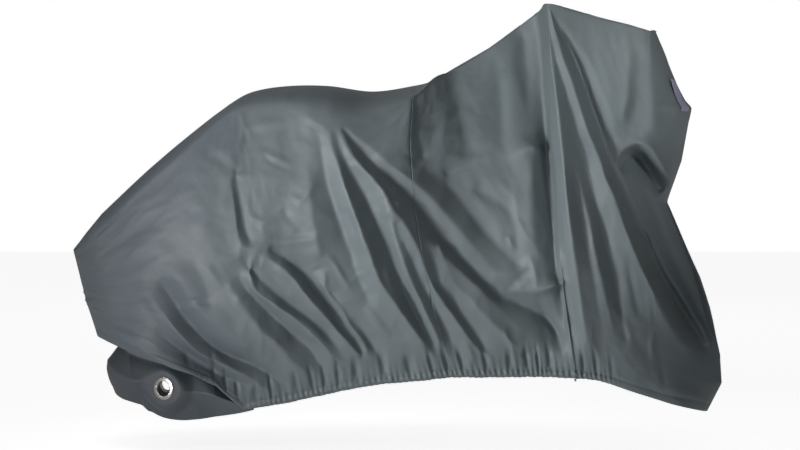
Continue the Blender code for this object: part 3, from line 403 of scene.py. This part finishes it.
def blurred(field, sigma):
    """The field after a Gaussian blur along both axes."""
    reach = int(3 * sigma + 1)
    weights = np.exp(-0.5 * (np.arange(-reach, reach + 1) / sigma) ** 2)
    weights /= weights.sum()
    for axis in (0, 1):
        pad = [(reach, reach) if k == axis else (0, 0) for k in (0, 1)]
        p = np.pad(field, pad, mode="edge")
        size = field.shape[axis]
        field = sum(w * np.take(p, range(i, i + size), axis=axis) for i, w in enumerate(weights))
    return field


def crease_field(lines):
    """Heights (m) on the elevation's pixels: taut cloth over the lines, each as soft as it says."""
    heights = np.vstack([evenly(points) for _, _, points in lines])
    softness = np.vstack([[(x, y, soft) for x, y, _ in evenly(points)] for _, soft, points in lines])
    field = relax(heights, FADE) * RELIEF * MM
    soft = SOFTEN * blurred(relax(softness, SOFTNESS_FADE), SOFTNESS_BLUR)
    layers = [blurred(field, s) for s in BLURS]
    out = layers[0].copy()
    for low, high, a, b in zip(BLURS, BLURS[1:], layers, layers[1:]):
        out = np.where(soft > low, a + (b - a) * ramp(soft, low, high - low), out)
    return out + DEEPEN * (out - blurred(out, DEEPEN_WITHIN))


def crease_marks(creases, step=0.7):
    """Heights (m) of narrow creases: tents that die away towards both ends."""
    field = np.zeros((FIELD_SIZE[1], FIELD_SIZE[0]))
    for tall, reach, points in creases:
        line = evenly([(x - FIELD_AT[0], y - FIELD_AT[1]) for x, y in points], step)
        (x0, y0), (x1, y1) = line.min(0).astype(int) - reach, line.max(0).astype(int) + reach + 1
        y, x = np.mgrid[y0:y1, x0:x1]
        away = np.hypot(x[..., None] - line[:, 0], y[..., None] - line[:, 1])
        share = away.argmin(axis=2) / (len(line) - 1)
        tent = ramp(away.min(axis=2), reach, -reach) * np.sin(math.pi * share) ** CREASE_TAPER
        field[y0:y1, x0:x1] += tall * CREASE_RELIEF * MM * tent
    return blurred(field, CREASE_BLUR)


def pixels(p):
    """Where the points p (..., 3) are seen in the photograph."""
    k = EYE[1] / (EYE[1] - p[..., 1])
    x = p[..., 0] * k / PIXEL + PHOTO[0] / 2
    z = EYE[2] + (p[..., 2] - EYE[2]) * k
    return x, PHOTO[1] / 2 - (z - AIM_HEIGHT) / PIXEL


def sampled(field, x, y):
    """The field at pixel places, read bilinearly."""
    x = np.clip(x - FIELD_AT[0], 0, FIELD_SIZE[0] - 1.001)
    y = np.clip(y - FIELD_AT[1], 0, FIELD_SIZE[1] - 1.001)
    i, j = x.astype(int), y.astype(int)
    u, v = x - i, y - j
    top = field[j, i] * (1 - u) + field[j, i + 1] * u
    low = field[j + 1, i] * (1 - u) + field[j + 1, i + 1] * u
    return top * (1 - v) + low * v


# ----- base surface
def section(s):
    """Section at s (0 is the rear corner): hem, belly, shoulder of each side, and the crown."""
    low = min(int(s), len(SECTIONS) - 2)
    rows = [SECTIONS[min(max(low + i, 0), len(SECTIONS) - 1)] for i in (-1, 0, 1, 2)]
    a, b, c, d = (np.array([top, *near, crown, *far, *belly, *hem], float)
                  for _, top, near, crown, far, belly, hem in rows)
    top, ny, nz, crown, fy, fz, bx, bz, bny, bfy, hx, hz, hny, hfy = between(a, b, c, d, s - low) * MM
    return {
        "crown": np.array((top, (ny + fy) / 2, crown)),
        NEAR: np.array(((hx, hny, hz), (bx, bny, bz), (top, ny, nz))),
        FAR: np.array(((hx, hfy, hz), (bx, bfy, bz), (top, fy, fz))),
    }


def side_points(s, side, t):
    """Points on a side at section s: t is 0 at the hem, 1 at the shoulder; the belly is at a half."""
    hem, belly, shoulder = section(s)[side]
    bend = 2 * belly - (hem + shoulder) / 2
    t = np.asarray(t, float)[:, None]
    return (1 - t) ** 2 * hem + 2 * t * (1 - t) * bend + t ** 2 * shoulder


def end_points(end, side, angle, t):
    """Points on a rounded end: angle is 0 at the corner section and a right angle at the nose."""
    s, nose = (0.0, REAR_NOSE) if end == "rear" else (len(SECTIONS) - 1.0, FRONT_NOSE)
    here, there = side_points(s, side, t), side_points(s, -side, t)
    mid, half = (here + there) / 2, (here - there) / 2
    outline = np.array(nose) * MM
    low, high = (side_points(s, NEAR, (0, 1)) + side_points(s, FAR, (0, 1)))[:, 2] / 2
    share = (mid[:, 2] - low) / (high - low)
    nose_z = outline[0, 1] + share * (outline[-1, 1] - outline[0, 1])
    order = np.argsort(outline[:, 1])
    nose_x = np.interp(nose_z, outline[order, 1], outline[order, 0])
    before = side_points(abs(s - END_TANGENT), side, t)
    slope = (here - before)[:, 1] / (here - before)[:, 0]
    p = mid + half * math.cos(angle)
    p[:, 1] += slope * (nose_x - mid[:, 0]) * math.sin(angle) * math.cos(angle)
    p[:, 0] += (nose_x - mid[:, 0]) * math.sin(angle)
    p[:, 2] += (nose_z - mid[:, 2]) * math.sin(angle)
    return p


def overhang(s):
    """Share of the side's height at which the panel's lower edge hangs over the strip."""
    stations, shares = zip(*OVERHANG)
    return float(np.interp(s, stations, shares))


def columns():
    """Columns of one side from the rear nose to the front nose: (kind, section, angle)."""
    turn = [math.pi / 2 * i / END_STEPS for i in range(END_STEPS)]
    last = len(SECTIONS) - 1
    rear = [("rear", 0.0, math.pi / 2 - a) for a in turn]
    front = [("front", float(last), a + math.pi / 2 / END_STEPS) for a in turn]
    return rear + [("side", i / STEPS, 0.0) for i in range(last * STEPS + 1)] + front


def wall_points(column, side, t):
    """Points on the wall in one column, at the shares t of its height."""
    kind, s, angle = column
    return side_points(s, side, t) if kind == "side" else end_points(kind, side, angle, t)


def displaced(p, side, height):
    """Points moved outwards along the line of sight, so that they stay where the photograph shows them."""
    sight = (p - EYE) / (p[..., 1:2] - EYE[1])
    return p + side * height[..., None] * sight


def wall_shares(column, side):
    """Shares of the side's height for the rows of one column, close together at the hem."""
    low = overhang(column[1])
    ends = wall_points(column, side, (low, 1))
    fine = min(HEM_FINE / np.linalg.norm(ends[1] - ends[0]), HEM_FINE_SHARE)
    hem = np.arange(HEM_ROWS) / HEM_ROWS * fine
    rest = np.linspace(fine, 1, LEVELS - HEM_ROWS + 1)
    return low + (1 - low) * np.concatenate([hem, rest])


def facing(angle):
    """Share of the folds' height that an end takes at an angle: none at the nose."""
    return math.sqrt(max(math.cos(angle), 0.0))


def half_surface(side, field):
    """Grid of points (column, row) of one side: hem to shoulder, then over the roof to the crown."""
    grid, face = [], []
    roof = np.arange(1, ROOF_STEPS + 1) / ROOF_STEPS * math.pi / 2
    fade = np.clip(1 - ROOF_FADE * (np.arange(LEVELS + ROOF_STEPS + 1) - LEVELS) / ROOF_STEPS, 0, 1)
    for column in columns():
        kind, s, angle = column
        wall = wall_points(column, side, wall_shares(column, side))
        crown = section(s)["crown"]
        if kind != "side":
            nose = end_points(kind, side, math.pi / 2, (1.0,))[0]
            crown = crown + (nose - crown) * math.sin(angle)
        over = crown + (wall[-1] - crown) * np.cos(roof)[:, None]
        over[:, 2] = wall[-1][2] + (crown[2] - wall[-1][2]) * np.sin(roof)
        grid.append(np.vstack([wall, over]))
        face.append(facing(angle) * fade)
    grid = np.array(grid)
    return displaced(grid, side, sampled(field, *pixels(grid)) * np.array(face))


# ----- sheets
def normals(grid, side):
    """Outward unit normals of a grid of points."""
    along, up = np.gradient(grid, axis=0), np.gradient(grid, axis=1)
    n = np.cross(along, up) * -side
    return n / np.maximum(np.linalg.norm(n, axis=2, keepdims=True), 1e-9)


def arc_lengths(grid, axis):
    """Lengths along the grid's lines from their first point."""
    steps = np.linalg.norm(np.diff(grid, axis=axis), axis=2)
    pad = [(1, 0) if k == axis else (0, 0) for k in (0, 1)]
    return np.cumsum(np.pad(steps, pad), axis=axis)


def smooth_noise(rng, shape, sigma):
    """Random heights of unit spread, smooth over sigma cells."""
    noise = blurred(rng.standard_normal(shape), sigma)
    return noise / noise.std()


def crinkled(grid, side, rng):
    """The cloth's small unevenness, the gathers above its elastic hem and the ruffled hem itself."""
    shape = grid.shape[:2]
    lift = sum(tall * smooth_noise(rng, shape, wide) for tall, wide in UNEVEN)
    lift -= sum(tall * np.abs(smooth_noise(rng, shape, wide)) for tall, wide in RIDGED)
    high = np.linalg.norm(grid - grid[:, :1], axis=2)
    x, length = grid[:, :1, 0], arc_lengths(grid[:, :1], 0)
    elastic = ramp(x, GATHER_FROM, GATHER_IN) * ramp(x, GATHER_TO, -GATHER_OUT)
    wander = smooth_noise(rng, (shape[0], 1), WANDER_WIDE)
    pleats = np.sin(2 * math.pi * length / PLEAT + PLEAT_WANDER * wander)
    bunches = np.sin(2 * math.pi * length / BUNCH + BUNCH_WANDER * wander + BUNCH_START)
    casing, in_casing = np.clip(high / HEM_WIDTH, 0, 1), high < HEM_WIDTH
    above = (1 - PLEAT_LOSS) * np.exp(-(high - HEM_WIDTH) / PLEAT_FADE)
    ruffle = PLEAT_TALL * pleats + BUNCH_TALL * bunches
    ruffle = ruffle * np.where(in_casing, 1 - PLEAT_LOSS * casing, above)
    puff = PUFF * np.sin(math.pi * casing) * in_casing
    groove = GROOVE * np.exp(-((high - HEM_WIDTH) / GROOVE_WIDE) ** 2)
    hollow = HOLLOW * np.clip(bunches, 0, 1) ** 2 * np.exp(-((high - HOLLOW_AT) / HOLLOW_WIDE) ** 2)
    turn = TURN * np.exp(-high / TURN_WIDE)
    lift = lift * np.clip(high / CALM_BELOW, CALM, 1) + elastic * (ruffle + puff - hollow - turn)
    lift -= groove * (GROOVE_PLAIN + (1 - GROOVE_PLAIN) * elastic)
    edge = np.ones(shape)
    edge[:, LEVELS:] = np.linspace(1, 0, ROOF_STEPS + 1)
    for k in range(NOSE_COLUMNS):
        edge[[k, -1 - k]] *= k / NOSE_COLUMNS
    out = grid + normals(grid, side) * (lift * edge)[..., None]
    rise = elastic * (EDGE_RISE[0] * pleats + EDGE_RISE[1] * bunches)
    out[:, :EDGE_ROWS, 2] += rise * edge[:, :EDGE_ROWS]
    return out


def new_mesh(name, points, faces):
    """Mesh of points and faces."""
    mesh = bpy.data.meshes.new(name)
    mesh.from_pydata(points, [], faces)
    return mesh


def sheet_mesh(name, points, faces, places):
    """Mesh whose faces' corners have the given places on the flat cloth."""
    mesh = new_mesh(name, points, faces)
    mesh.uv_layers.new(name="cloth").data.foreach_set("uv", np.array(places).ravel())
    return mesh


def panel_mesh(name, grids, first, last):
    """Sheet between two columns: near side, far side at twice the step, joined at crown and noses."""
    near = grids[NEAR]
    nose, crown = near.shape[0] - 1, near.shape[1] - 1
    girth = {side: arc_lengths(g, 0)[:, LEVELS // 2] for side, g in grids.items()}
    rise = {side: arc_lengths(g, 1) for side, g in grids.items()}
    index, points, faces, places = {}, [], [], []

    def vert(side, c, r):
        at_nose = c in (0, nose)
        key = (NEAR if at_nose or r == crown else side, c, min(r, LEVELS) if at_nose else r)
        if key not in index:
            index[key] = len(points)
            points.append(grids[key[0]][key[1], key[2]] - SUPPORT)
        return index[key]

    def face(side, cells):
        corners = [vert(side, *at) for at in cells]
        keep = [i for i, v in enumerate(corners) if v not in corners[:i]]
        if len(keep) > 2:
            faces.append([corners[i] for i in keep])
            places.extend((side * girth[side][cells[i][0]], rise[side][cells[i]]) for i in keep)

    for c in range(first, last):
        for r in range(crown):
            face(NEAR, ((c, r), (c + 1, r), (c + 1, r + 1), (c, r + 1)))
    around = ((0, 0), (0, 1), (0, 2), (1, 2), (2, 2), (2, 1), (2, 0), (1, 0))
    for c in range(first, last, 2):
        for r in range(0, crown, 2):
            face(FAR, [(c + i, r + k) for i, k in around
                       if i % 2 == k % 2 == 0 or c + i in (0, nose) or r + k == crown])
    return sheet_mesh(name, points, faces, places)


def grid_mesh(name, grid, wanted=None):
    """Sheet over a grid of points, leaving out the cells that aren't wanted."""
    rows = grid.shape[1]
    u, v = arc_lengths(grid, 0)[:, rows // 2], arc_lengths(grid, 1)
    faces, places = [], []
    for c in range(grid.shape[0] - 1):
        for r in range(rows - 1):
            if wanted is None or wanted[c, r]:
                cell = ((c, r), (c + 1, r), (c + 1, r + 1), (c, r + 1))
                faces.append([i * rows + k for i, k in cell])
                places.extend((u[i], v[i, k]) for i, k in cell)
    used, faces = np.unique(faces, return_inverse=True)
    return sheet_mesh(name, (grid - SUPPORT).reshape(-1, 3)[used], faces.reshape(-1, 4).tolist(), places)


def add(mesh, mat, slot, *nodes):
    """A piece that rides on the cover and stands for its CAD nodes."""
    mesh.materials.append(mat)
    mesh.shade_smooth()
    obj = bpy.data.objects.new(mesh.name, mesh)
    bpy.context.scene.collection.objects.link(obj)
    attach(obj, "root")
    if nodes:
        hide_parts(*nodes)
    return obj


def add_sheet(mesh, mat, slot, node_name, thickness=CLOTH):
    """An open sheet, thickened on its inner side, and its one-sided area in square metres."""
    obj = add(mesh, mat, slot, node_name)
    solid = obj.modifiers.new("thickness", "SOLIDIFY")
    solid.thickness, solid.offset = thickness, -1
    return obj, sum(p.area for p in mesh.polygons)


# ----- strip and eyelets
def strip_grid(side, field):
    """Surface of the eyelet strip on one side, from the rear nose forwards."""
    grid, face = [], []
    share = np.arange(STRIP_ROWS + 1) / STRIP_ROWS
    inset = STRIP_INSET + STRIP_TUCK * ramp(share, TUCK_FROM, TUCK_OVER)[:, None]
    for column in columns():
        kind, s, angle = column
        if kind == "front" or s > STRIP_END:
            break
        inward = np.array((math.sin(angle), -side * math.cos(angle), 0.0))
        wall = wall_points(column, side, (overhang(s) + STRIP_OVERLAP) * share)
        grid.append(wall + inward * inset)
        face.append(facing(angle))
    grid = np.array(grid)
    held_in = np.minimum(sampled(field, *pixels(grid)), 0) * np.array(face)[:, None]
    return displaced(grid, side, held_in)


def eyelet_place(side, grid):
    """Centre and outward normal of an eyelet on the strip."""
    x, z = grid[..., 0], grid[..., 2]
    if side == NEAR:
        px, py = pixels(grid)
        x, z = (px - PHOTO[0] / 2) * PIXEL, AIM_HEIGHT + (PHOTO[1] / 2 - py) * PIXEL
    miss = np.hypot(x - EYELET_AT[0], z - EYELET_AT[1])
    weight = 1 / (miss + EYELET_CLOSE) ** 3
    weight[miss > EYELET_REACH] = 0
    centre = (grid * weight[..., None]).sum((0, 1)) / weight.sum()
    spread = (grid - centre)[miss < EYELET_REACH]
    normal = Vector(np.linalg.svd(spread)[2][2])
    if normal.y * side < 0:
        normal.negate()
    normal.z = 0
    return Vector(centre), normal.normalized()


def flat_at_eyelet(grid, centre, normal):
    """The strip's surface, laid flat around the eyelet."""
    flat, far = EYELET_FLAT
    away = grid - np.array(centre)
    share = ramp(np.linalg.norm(away, axis=2), far, flat - far)
    share = share * share * (3 - 2 * share)
    return grid - (away @ np.array(normal) * share)[..., None] * np.array(normal)


def strip_folds(grid, side):
    """Slack of the strip: folds that run down from its corner, and the flap that hangs at its end."""
    x, z = grid[..., 0], grid[..., 2]
    from_eyelet = np.hypot(x - EYELET_AT[0], z - EYELET_AT[1])
    fold = SLACK * np.sin((SLACK_LEAN * x + z) / SLACK_WAVE) * ramp(from_eyelet, SLACK_FROM, SLACK_OVER)
    flap = ramp(x, FLAP_FROM[0], -FLAP_OVER) * ramp(z, FLAP_FROM[1], -FLAP_OVER)
    return np.stack([-FLAP[0] * flap, side * fold * ramp(x, x.min(), SLACK_REAR), -FLAP[1] * flap], axis=2)


def turned_mesh(name, profile, centre, normal):
    """Ring turned from a closed profile of (radius, height) points, which faces along the normal."""
    count = len(profile)
    turn = normal.to_track_quat("Z", "Y").to_matrix().to_4x4()
    place = Matrix.Translation(centre - Vector(SUPPORT)) @ turn
    angles = [2 * math.pi * i / EYELET_STEPS for i in range(EYELET_STEPS)]
    points = [place @ Vector((r * math.cos(a), r * math.sin(a), z)) for a in angles for r, z in profile]
    faces = [(i * count + k, (i + 1) % EYELET_STEPS * count + k,
              (i + 1) % EYELET_STEPS * count + (k + 1) % count, i * count + (k + 1) % count)
             for i in range(EYELET_STEPS) for k in range(count)]
    return new_mesh(name, points, faces)


def arc(centre, radius, start, end, steps=6):
    """Points on an arc in the profile's plane, angles in degrees."""
    angles = [math.radians(start + (end - start) * i / steps) for i in range(steps + 1)]
    return [(centre[0] + radius * math.cos(a), centre[1] + radius * math.sin(a)) for a in angles]


def eyelet_profile():
    """Rolled front flange, barrel through the cloth and flattened washer behind."""
    bore, flange, washer = EYELET_BORE / 2, EYELET_FLANGE / 2, EYELET_WASHER / 2
    barrel, front, back, rolled = EYELET_HOLE / 2 - 0.5 * MM, 0.4 * MM, -2.4 * MM, 1.2 * MM
    lip_radius, rim_radius = 2.2 * MM, 1.6 * MM
    lip = arc((bore + lip_radius, front + rolled), lip_radius, 180, 75)
    rim = arc((flange - rim_radius, front + rolled), rim_radius, 80, -40)
    return lip + rim + [(barrel, front), (barrel, back), (washer, back), (washer, back - rolled),
                        (bore + 1.0 * MM, back - 1.4 * MM), (bore, back - 0.5 * MM)]


# ----- materials
def node(nodes, kind, **settings):
    """A new shader node: each setting is an input's value or a property."""
    made = nodes.new("ShaderNode" + kind)
    for name, value in settings.items():
        if name in made.inputs:
            made.inputs[name].default_value = value
        else:
            setattr(made, name, value)
    return made


class Finish:
    """A Principled material, wired step by step."""

    def __init__(self, name, colour, roughness, metallic=0.0):
        self.material = bpy.data.materials.new(name)
        self.material.use_nodes = True
        self.nodes, self.links = self.material.node_tree.nodes, self.material.node_tree.links
        for socket, value in (("Base Color", colour), ("Roughness", roughness), ("Metallic", metallic)):
            self.set(socket, value)

    def set(self, socket, value):
        self.feed(self.nodes["Principled BSDF"].inputs[socket], value)

    def feed(self, socket, value):
        """Give a socket a colour, a number or another node's output."""
        if isinstance(value, tuple):
            socket.default_value = (*value, 1.0)
        elif isinstance(value, float):
            socket.default_value = value
        else:
            self.links.new(value, socket)

    def places(self):
        """The object's own coordinates."""
        return node(self.nodes, "TexCoord").outputs["Object"]

    def cloth_places(self):
        """Coordinates on the flat cloth."""
        return node(self.nodes, "UVMap", uv_map="cloth").outputs["UV"]

    def texture(self, kind, at, **settings):
        made = node(self.nodes, "Tex" + kind, **settings)
        self.links.new(at, made.inputs["Vector"])
        return made.outputs["Fac"]

    def mapped(self, value, low, high, to_low, to_high):
        ranges = {"From Min": low, "From Max": high, "To Min": to_low, "To Max": to_high}
        made = node(self.nodes, "MapRange", **ranges)
        self.links.new(value, made.inputs["Value"])
        return made.outputs["Result"]

    def mixed(self, factor, a, b, blend="MIX"):
        made = node(self.nodes, "Mix", data_type="RGBA", blend_type=blend)
        for socket, value in ((0, factor), (6, a), (7, b)):
            self.feed(made.inputs[socket], value)
        return made.outputs[2]

    def bump(self, height, strength, distance, under=None):
        made = node(self.nodes, "Bump", Strength=strength, Distance=distance)
        self.links.new(height, made.inputs["Height"])
        if under:
            self.links.new(under, made.inputs["Normal"])
        return made.outputs["Normal"]


def cloth_material(name, shade=1.0):
    """Coated nylon: slate grey, bluer and darker at the rear, where the darkening is painted shade, faintly
    mottled, with a plain weave under the coating; shade below 1 darkens it all as painted shade.
    """
    mat = Finish(name, CLOTH_FRONT, 0.5)
    place, cloth = mat.places(), mat.cloth_places()
    axes = node(mat.nodes, "SeparateXYZ")
    mat.links.new(place, axes.inputs[0])
    # painted shade: share of the darker rear colour, 1 at the rear and 0 from the middle forwards
    along = mat.mapped(axes.outputs["X"], -0.55, 0.05, 1.0, 0.0)
    broad = mat.texture("Noise", place, Scale=2.6, Detail=3.0, Roughness=0.5)
    fine = mat.texture("Noise", place, Scale=22.0, Detail=4.0, Roughness=0.6)
    tint_and_painted_shade = mat.mixed(along, CLOTH_FRONT, CLOTH_REAR_PAINTED_SHADE)
    tone = mat.mixed(mat.mapped(broad, 0.35, 0.65, 0.0, 0.22), tint_and_painted_shade, CLOTH_PALE)
    dust = mat.mixed(mat.mapped(fine, 0.4, 0.75, 0.0, 0.14), tone, CLOTH_DUST)
    # painted shade: shade below 1 draws the whole cloth darker, as for the strip tucked under the panel
    mat.set("Base Color", mat.mixed(1.0, dust, (shade, shade, shade), "MULTIPLY"))
    mat.set("Roughness", mat.mapped(fine, 0.3, 0.7, 0.46, 0.58))
    warp = mat.texture("Wave", cloth, Scale=340.0, bands_direction="X")
    weft = mat.texture("Wave", cloth, Scale=340.0, bands_direction="Y")
    crinkle = mat.texture("Noise", cloth, Scale=60.0, Detail=5.0, Roughness=0.55)
    weave = node(mat.nodes, "Math", operation="MULTIPLY")
    mat.links.new(warp, weave.inputs[0])
    mat.links.new(weft, weave.inputs[1])
    threads = mat.bump(weave.outputs[0], 0.25, 0.2 * MM)
    mat.set("Normal", mat.bump(crinkle, 0.35, 1.2 * MM, threads))
    return mat.material


def nickel_material():
    """Nickel-plated brass, finely scratched and dulled in places."""
    mat = Finish("nickel", NICKEL, 0.3, 1.0)
    scratch = mat.texture("Noise", mat.places(), Scale=260.0, Detail=4.0, Roughness=0.6)
    mat.set("Roughness", mat.mapped(scratch, 0.3, 0.7, 0.2, 0.42))
    mat.set("Base Color", mat.mixed(mat.mapped(scratch, 0.45, 0.7, 0.0, 0.5), NICKEL, NICKEL_DULL))
    return mat.material


def patch_material():
    """Woven label: fine ribs across, with a faint speckle."""
    mat = Finish("woven_patch", PATCH_DARK, 0.8)
    cloth = mat.cloth_places()
    ribs = mat.texture("Wave", cloth, Scale=300.0, bands_direction="Y")
    speckle = mat.texture("Noise", cloth, Scale=500.0, Detail=2.0)
    mat.set("Base Color", mat.mixed(mat.mapped(speckle, 0.3, 0.7, 0.0, 0.6), PATCH_DARK, PATCH_PALE))
    mat.set("Normal", mat.bump(ribs, 0.6, 0.4 * MM))
    return mat.material


def thread_material():
    """Twisted sewing thread."""
    mat = Finish("thread", THREAD_DARK, 0.7)
    twist = mat.texture("Noise", mat.places(), Scale=900.0, Detail=2.0)
    tone = mat.mapped(twist, 0.3, 0.7, 0.0, 1.0)
    mat.set("Base Color", mat.mixed(tone, THREAD_DARK, THREAD_PALE))
    return mat.material


def floor_material():
    """Pale floor that glows as a lit studio floor does, more to the camera, which sees it as white."""
    mat = Finish("floor", FLOOR, 0.9)
    seen = node(mat.nodes, "LightPath").outputs["Is Camera Ray"]
    mat.set("Emission Color", WHITE)
    mat.set("Emission Strength", mat.mapped(seen, 0.0, 1.0, *FLOOR_GLOW))
    return mat.material


# ----- label and stitches
def label_grid(rounds=4):
    """Patch sewn on the front end, following the panel under it, stretched until it has its size."""
    angle, share = LABEL_AT
    span = np.array(LABEL_GUESS)
    for _ in range(rounds):
        angles = angle + span[0] * np.linspace(-0.5, 0.5, LABEL_COLUMNS)
        shares = share + span[1] * np.linspace(-0.5, 0.5, LABEL_ROWS)
        grid = np.array([end_points("front", NEAR, a, shares) for a in angles])
        face = np.array([[facing(a)] for a in angles])
        grid = displaced(grid, NEAR, sampled(field[NEAR], *pixels(grid)) * face)
        size = [arc_lengths(grid, 0)[-1].mean(), arc_lengths(grid, 1)[:, -1].mean()]
        span = span * LABEL_SIZE / size
    return grid + normals(grid, NEAR) * LABEL_LIFT


def stitches(name, path, outwards, mat, length=3.2 * MM, gap=1.6 * MM, width=0.55 * MM):
    """Row of stitches lying on the cloth along a path: short spindles, half sunk."""
    run = np.concatenate([[0], np.cumsum(np.linalg.norm(np.diff(path, axis=0), axis=1))])
    places = np.arange(gap, run[-1] - length, length + gap)
    points, faces = [], []
    for start in places:
        ends = [np.array([np.interp(start + k * length, run, path[:, i]) for i in range(3)]) for k in (0, 1)]
        out = np.array([np.interp(start, run, outwards[:, i]) for i in range(3)])
        along = ends[1] - ends[0]
        across = np.cross(along, out)
        across /= max(np.linalg.norm(across), 1e-9)
        first = len(points)
        for share, size in STITCH:
            middle = ends[0] + along * share + out * (size - STITCH_SUNK) * width * STITCH_FLAT
            points += [middle + way * width * size for way in (across, out, -across)]
        for k in range(3):
            a, b = first + 3 * k, first + 3 * k + 3
            faces += [(a, a + 1, b + 1, b), (a + 1, a + 2, b + 2, b + 1), (a + 2, a, b, b + 2)]
        faces += [(first + 2, first + 1, first), (first + 9, first + 10, first + 11)]
    return add(new_mesh(name, [p - SUPPORT for p in points], faces), mat, "coated_cloth")


def seam_row(side, name):
    """Stitches of the seam between the panels, on one side from the hem to the crown."""
    rows = slice(LEVELS + ROOF_STEPS)
    path, outwards = surface[side][SEAM_COLUMN + 1, rows], normals(surface[side], side)[SEAM_COLUMN + 1, rows]
    return stitches("seam_stitching_" + name, path, outwards, thread)


# ----- build
field = {NEAR: crease_field(NEAR_LINES) + crease_marks(CREASES), FAR: crease_field(FAR_LINES)}
rng = np.random.default_rng(SEED)
surface = {side: crinkled(half_surface(side, field[side]), side, rng) for side in (NEAR, FAR)}
surface[FAR][:, -1] = surface[NEAR][:, -1]

# painted shade: the strip's cloth is the same nylon drawn darker, for the shade under the panel's overhang
cloth, painted_shade_cloth = cloth_material("coated_cloth"), cloth_material("coated_cloth_strip_painted_shade", STRIP_PAINTED_SHADE)
nickel, patch, thread = nickel_material(), patch_material(), thread_material()
rear_mesh = panel_mesh("rear_panel_sheet", surface, 0, SEAM_COLUMN)
rear, rear_area = add_sheet(rear_mesh, cloth, "coated_cloth", "rear_panel")
front_mesh = panel_mesh("front_panel_sheet", surface, SEAM_COLUMN, surface[NEAR].shape[0] - 1)
front, front_area = add_sheet(front_mesh, cloth, "coated_cloth", "front_panel")

strips, places = {}, {}
for side in (NEAR, FAR):
    grid = strip_grid(side, field[side])
    places[side] = eyelet_place(side, grid)
    grid = flat_at_eyelet(grid, *places[side])
    away = np.linalg.norm(grid - np.array(places[side][0]), axis=2)
    noise = STRIP_UNEVEN * smooth_noise(rng, grid.shape[:2], STRIP_UNEVEN_WIDE)
    grid = grid + normals(grid, side) * (noise * ramp(away, STRIP_CALM, STRIP_CALM))[..., None]
    strips[side] = grid + strip_folds(grid, side)
strips[FAR][0] = strips[NEAR][0]
both = np.vstack([strips[FAR][:0:-1], strips[NEAR]])
middles = (both[:-1, :-1] + both[1:, :-1] + both[:-1, 1:] + both[1:, 1:]) / 4
wanted = np.ones(middles.shape[:2], bool)
for centre, _ in places.values():
    wanted &= np.linalg.norm(middles - np.array(centre), axis=2) > EYELET_HOLE / 2 + HOLE_CLEAR
strip_mesh = grid_mesh("eyelet_strip_sheet", both, wanted)
strip, strip_area = add_sheet(strip_mesh, painted_shade_cloth, "coated_cloth", "eyelet_strip")

for side, name in ((NEAR, "near"), (FAR, "far")):
    ring = turned_mesh("eyelet_ring_" + name, eyelet_profile(), *places[side])
    add(ring, nickel, "nickel", "eyelet_" + name)

label_mesh = grid_mesh("label_sheet", label_grid())
label, label_area = add_sheet(label_mesh, patch, "woven_patch", "label_patch", LABEL_CLOTH)
seam, far_seam = seam_row(NEAR, "near"), seam_row(FAR, "far")


# ----- stage, light, camera
def placed(name, data, at, towards):
    """A light or camera at a place, looking at another."""
    obj = bpy.data.objects.new(name, data)
    scene.collection.objects.link(obj)
    obj.location = Vector(at) - Vector(SUPPORT)
    obj.rotation_mode = "QUATERNION"
    obj.rotation_quaternion = (Vector(towards) - Vector(at)).to_track_quat("-Z", "Y")
    return obj


scene = bpy.context.scene
corners = np.array([(-1, -1, 0), (1, -1, 0), (1, 1, 0), (-1, 1, 0)]) * FLOOR_HALF - SUPPORT
floor_mesh = new_mesh("floor", corners, [(0, 1, 2, 3)])
floor = bpy.data.objects.new("floor", floor_mesh)
scene.collection.objects.link(floor)
floor_mesh.materials.append(floor_material())

for name, at, towards, size, power, spread in LIGHTS:
    lamp = bpy.data.lights.new(name, "AREA")
    lamp.size, lamp.energy, lamp.spread = size, power, math.radians(spread)
    placed(name, lamp, at, towards).visible_camera = False

world = bpy.data.worlds.new("studio")
scene.world = world
world.use_nodes = True
nodes, links = world.node_tree.nodes, world.node_tree.links
backdrop = node(nodes, "Background", Color=(*WHITE, 1.0), Strength=1.0)
around = nodes["Background"]
around.inputs["Color"].default_value = (*WHITE, 1.0)
around.inputs["Strength"].default_value = AMBIENT
mix = node(nodes, "MixShader")
links.new(node(nodes, "LightPath").outputs["Is Camera Ray"], mix.inputs[0])
links.new(around.outputs[0], mix.inputs[1])
links.new(backdrop.outputs[0], mix.inputs[2])
links.new(mix.outputs[0], nodes["World Output"].inputs["Surface"])

camera = bpy.data.cameras.new("camera")
camera.sensor_width = 36.0
camera.lens = camera.sensor_width * -EYE[1] / (PHOTO[0] * PIXEL)
scene.camera = placed("camera", camera, EYE, (0.0, 0.0, AIM_HEIGHT))
scene.view_settings.view_transform = "Standard"
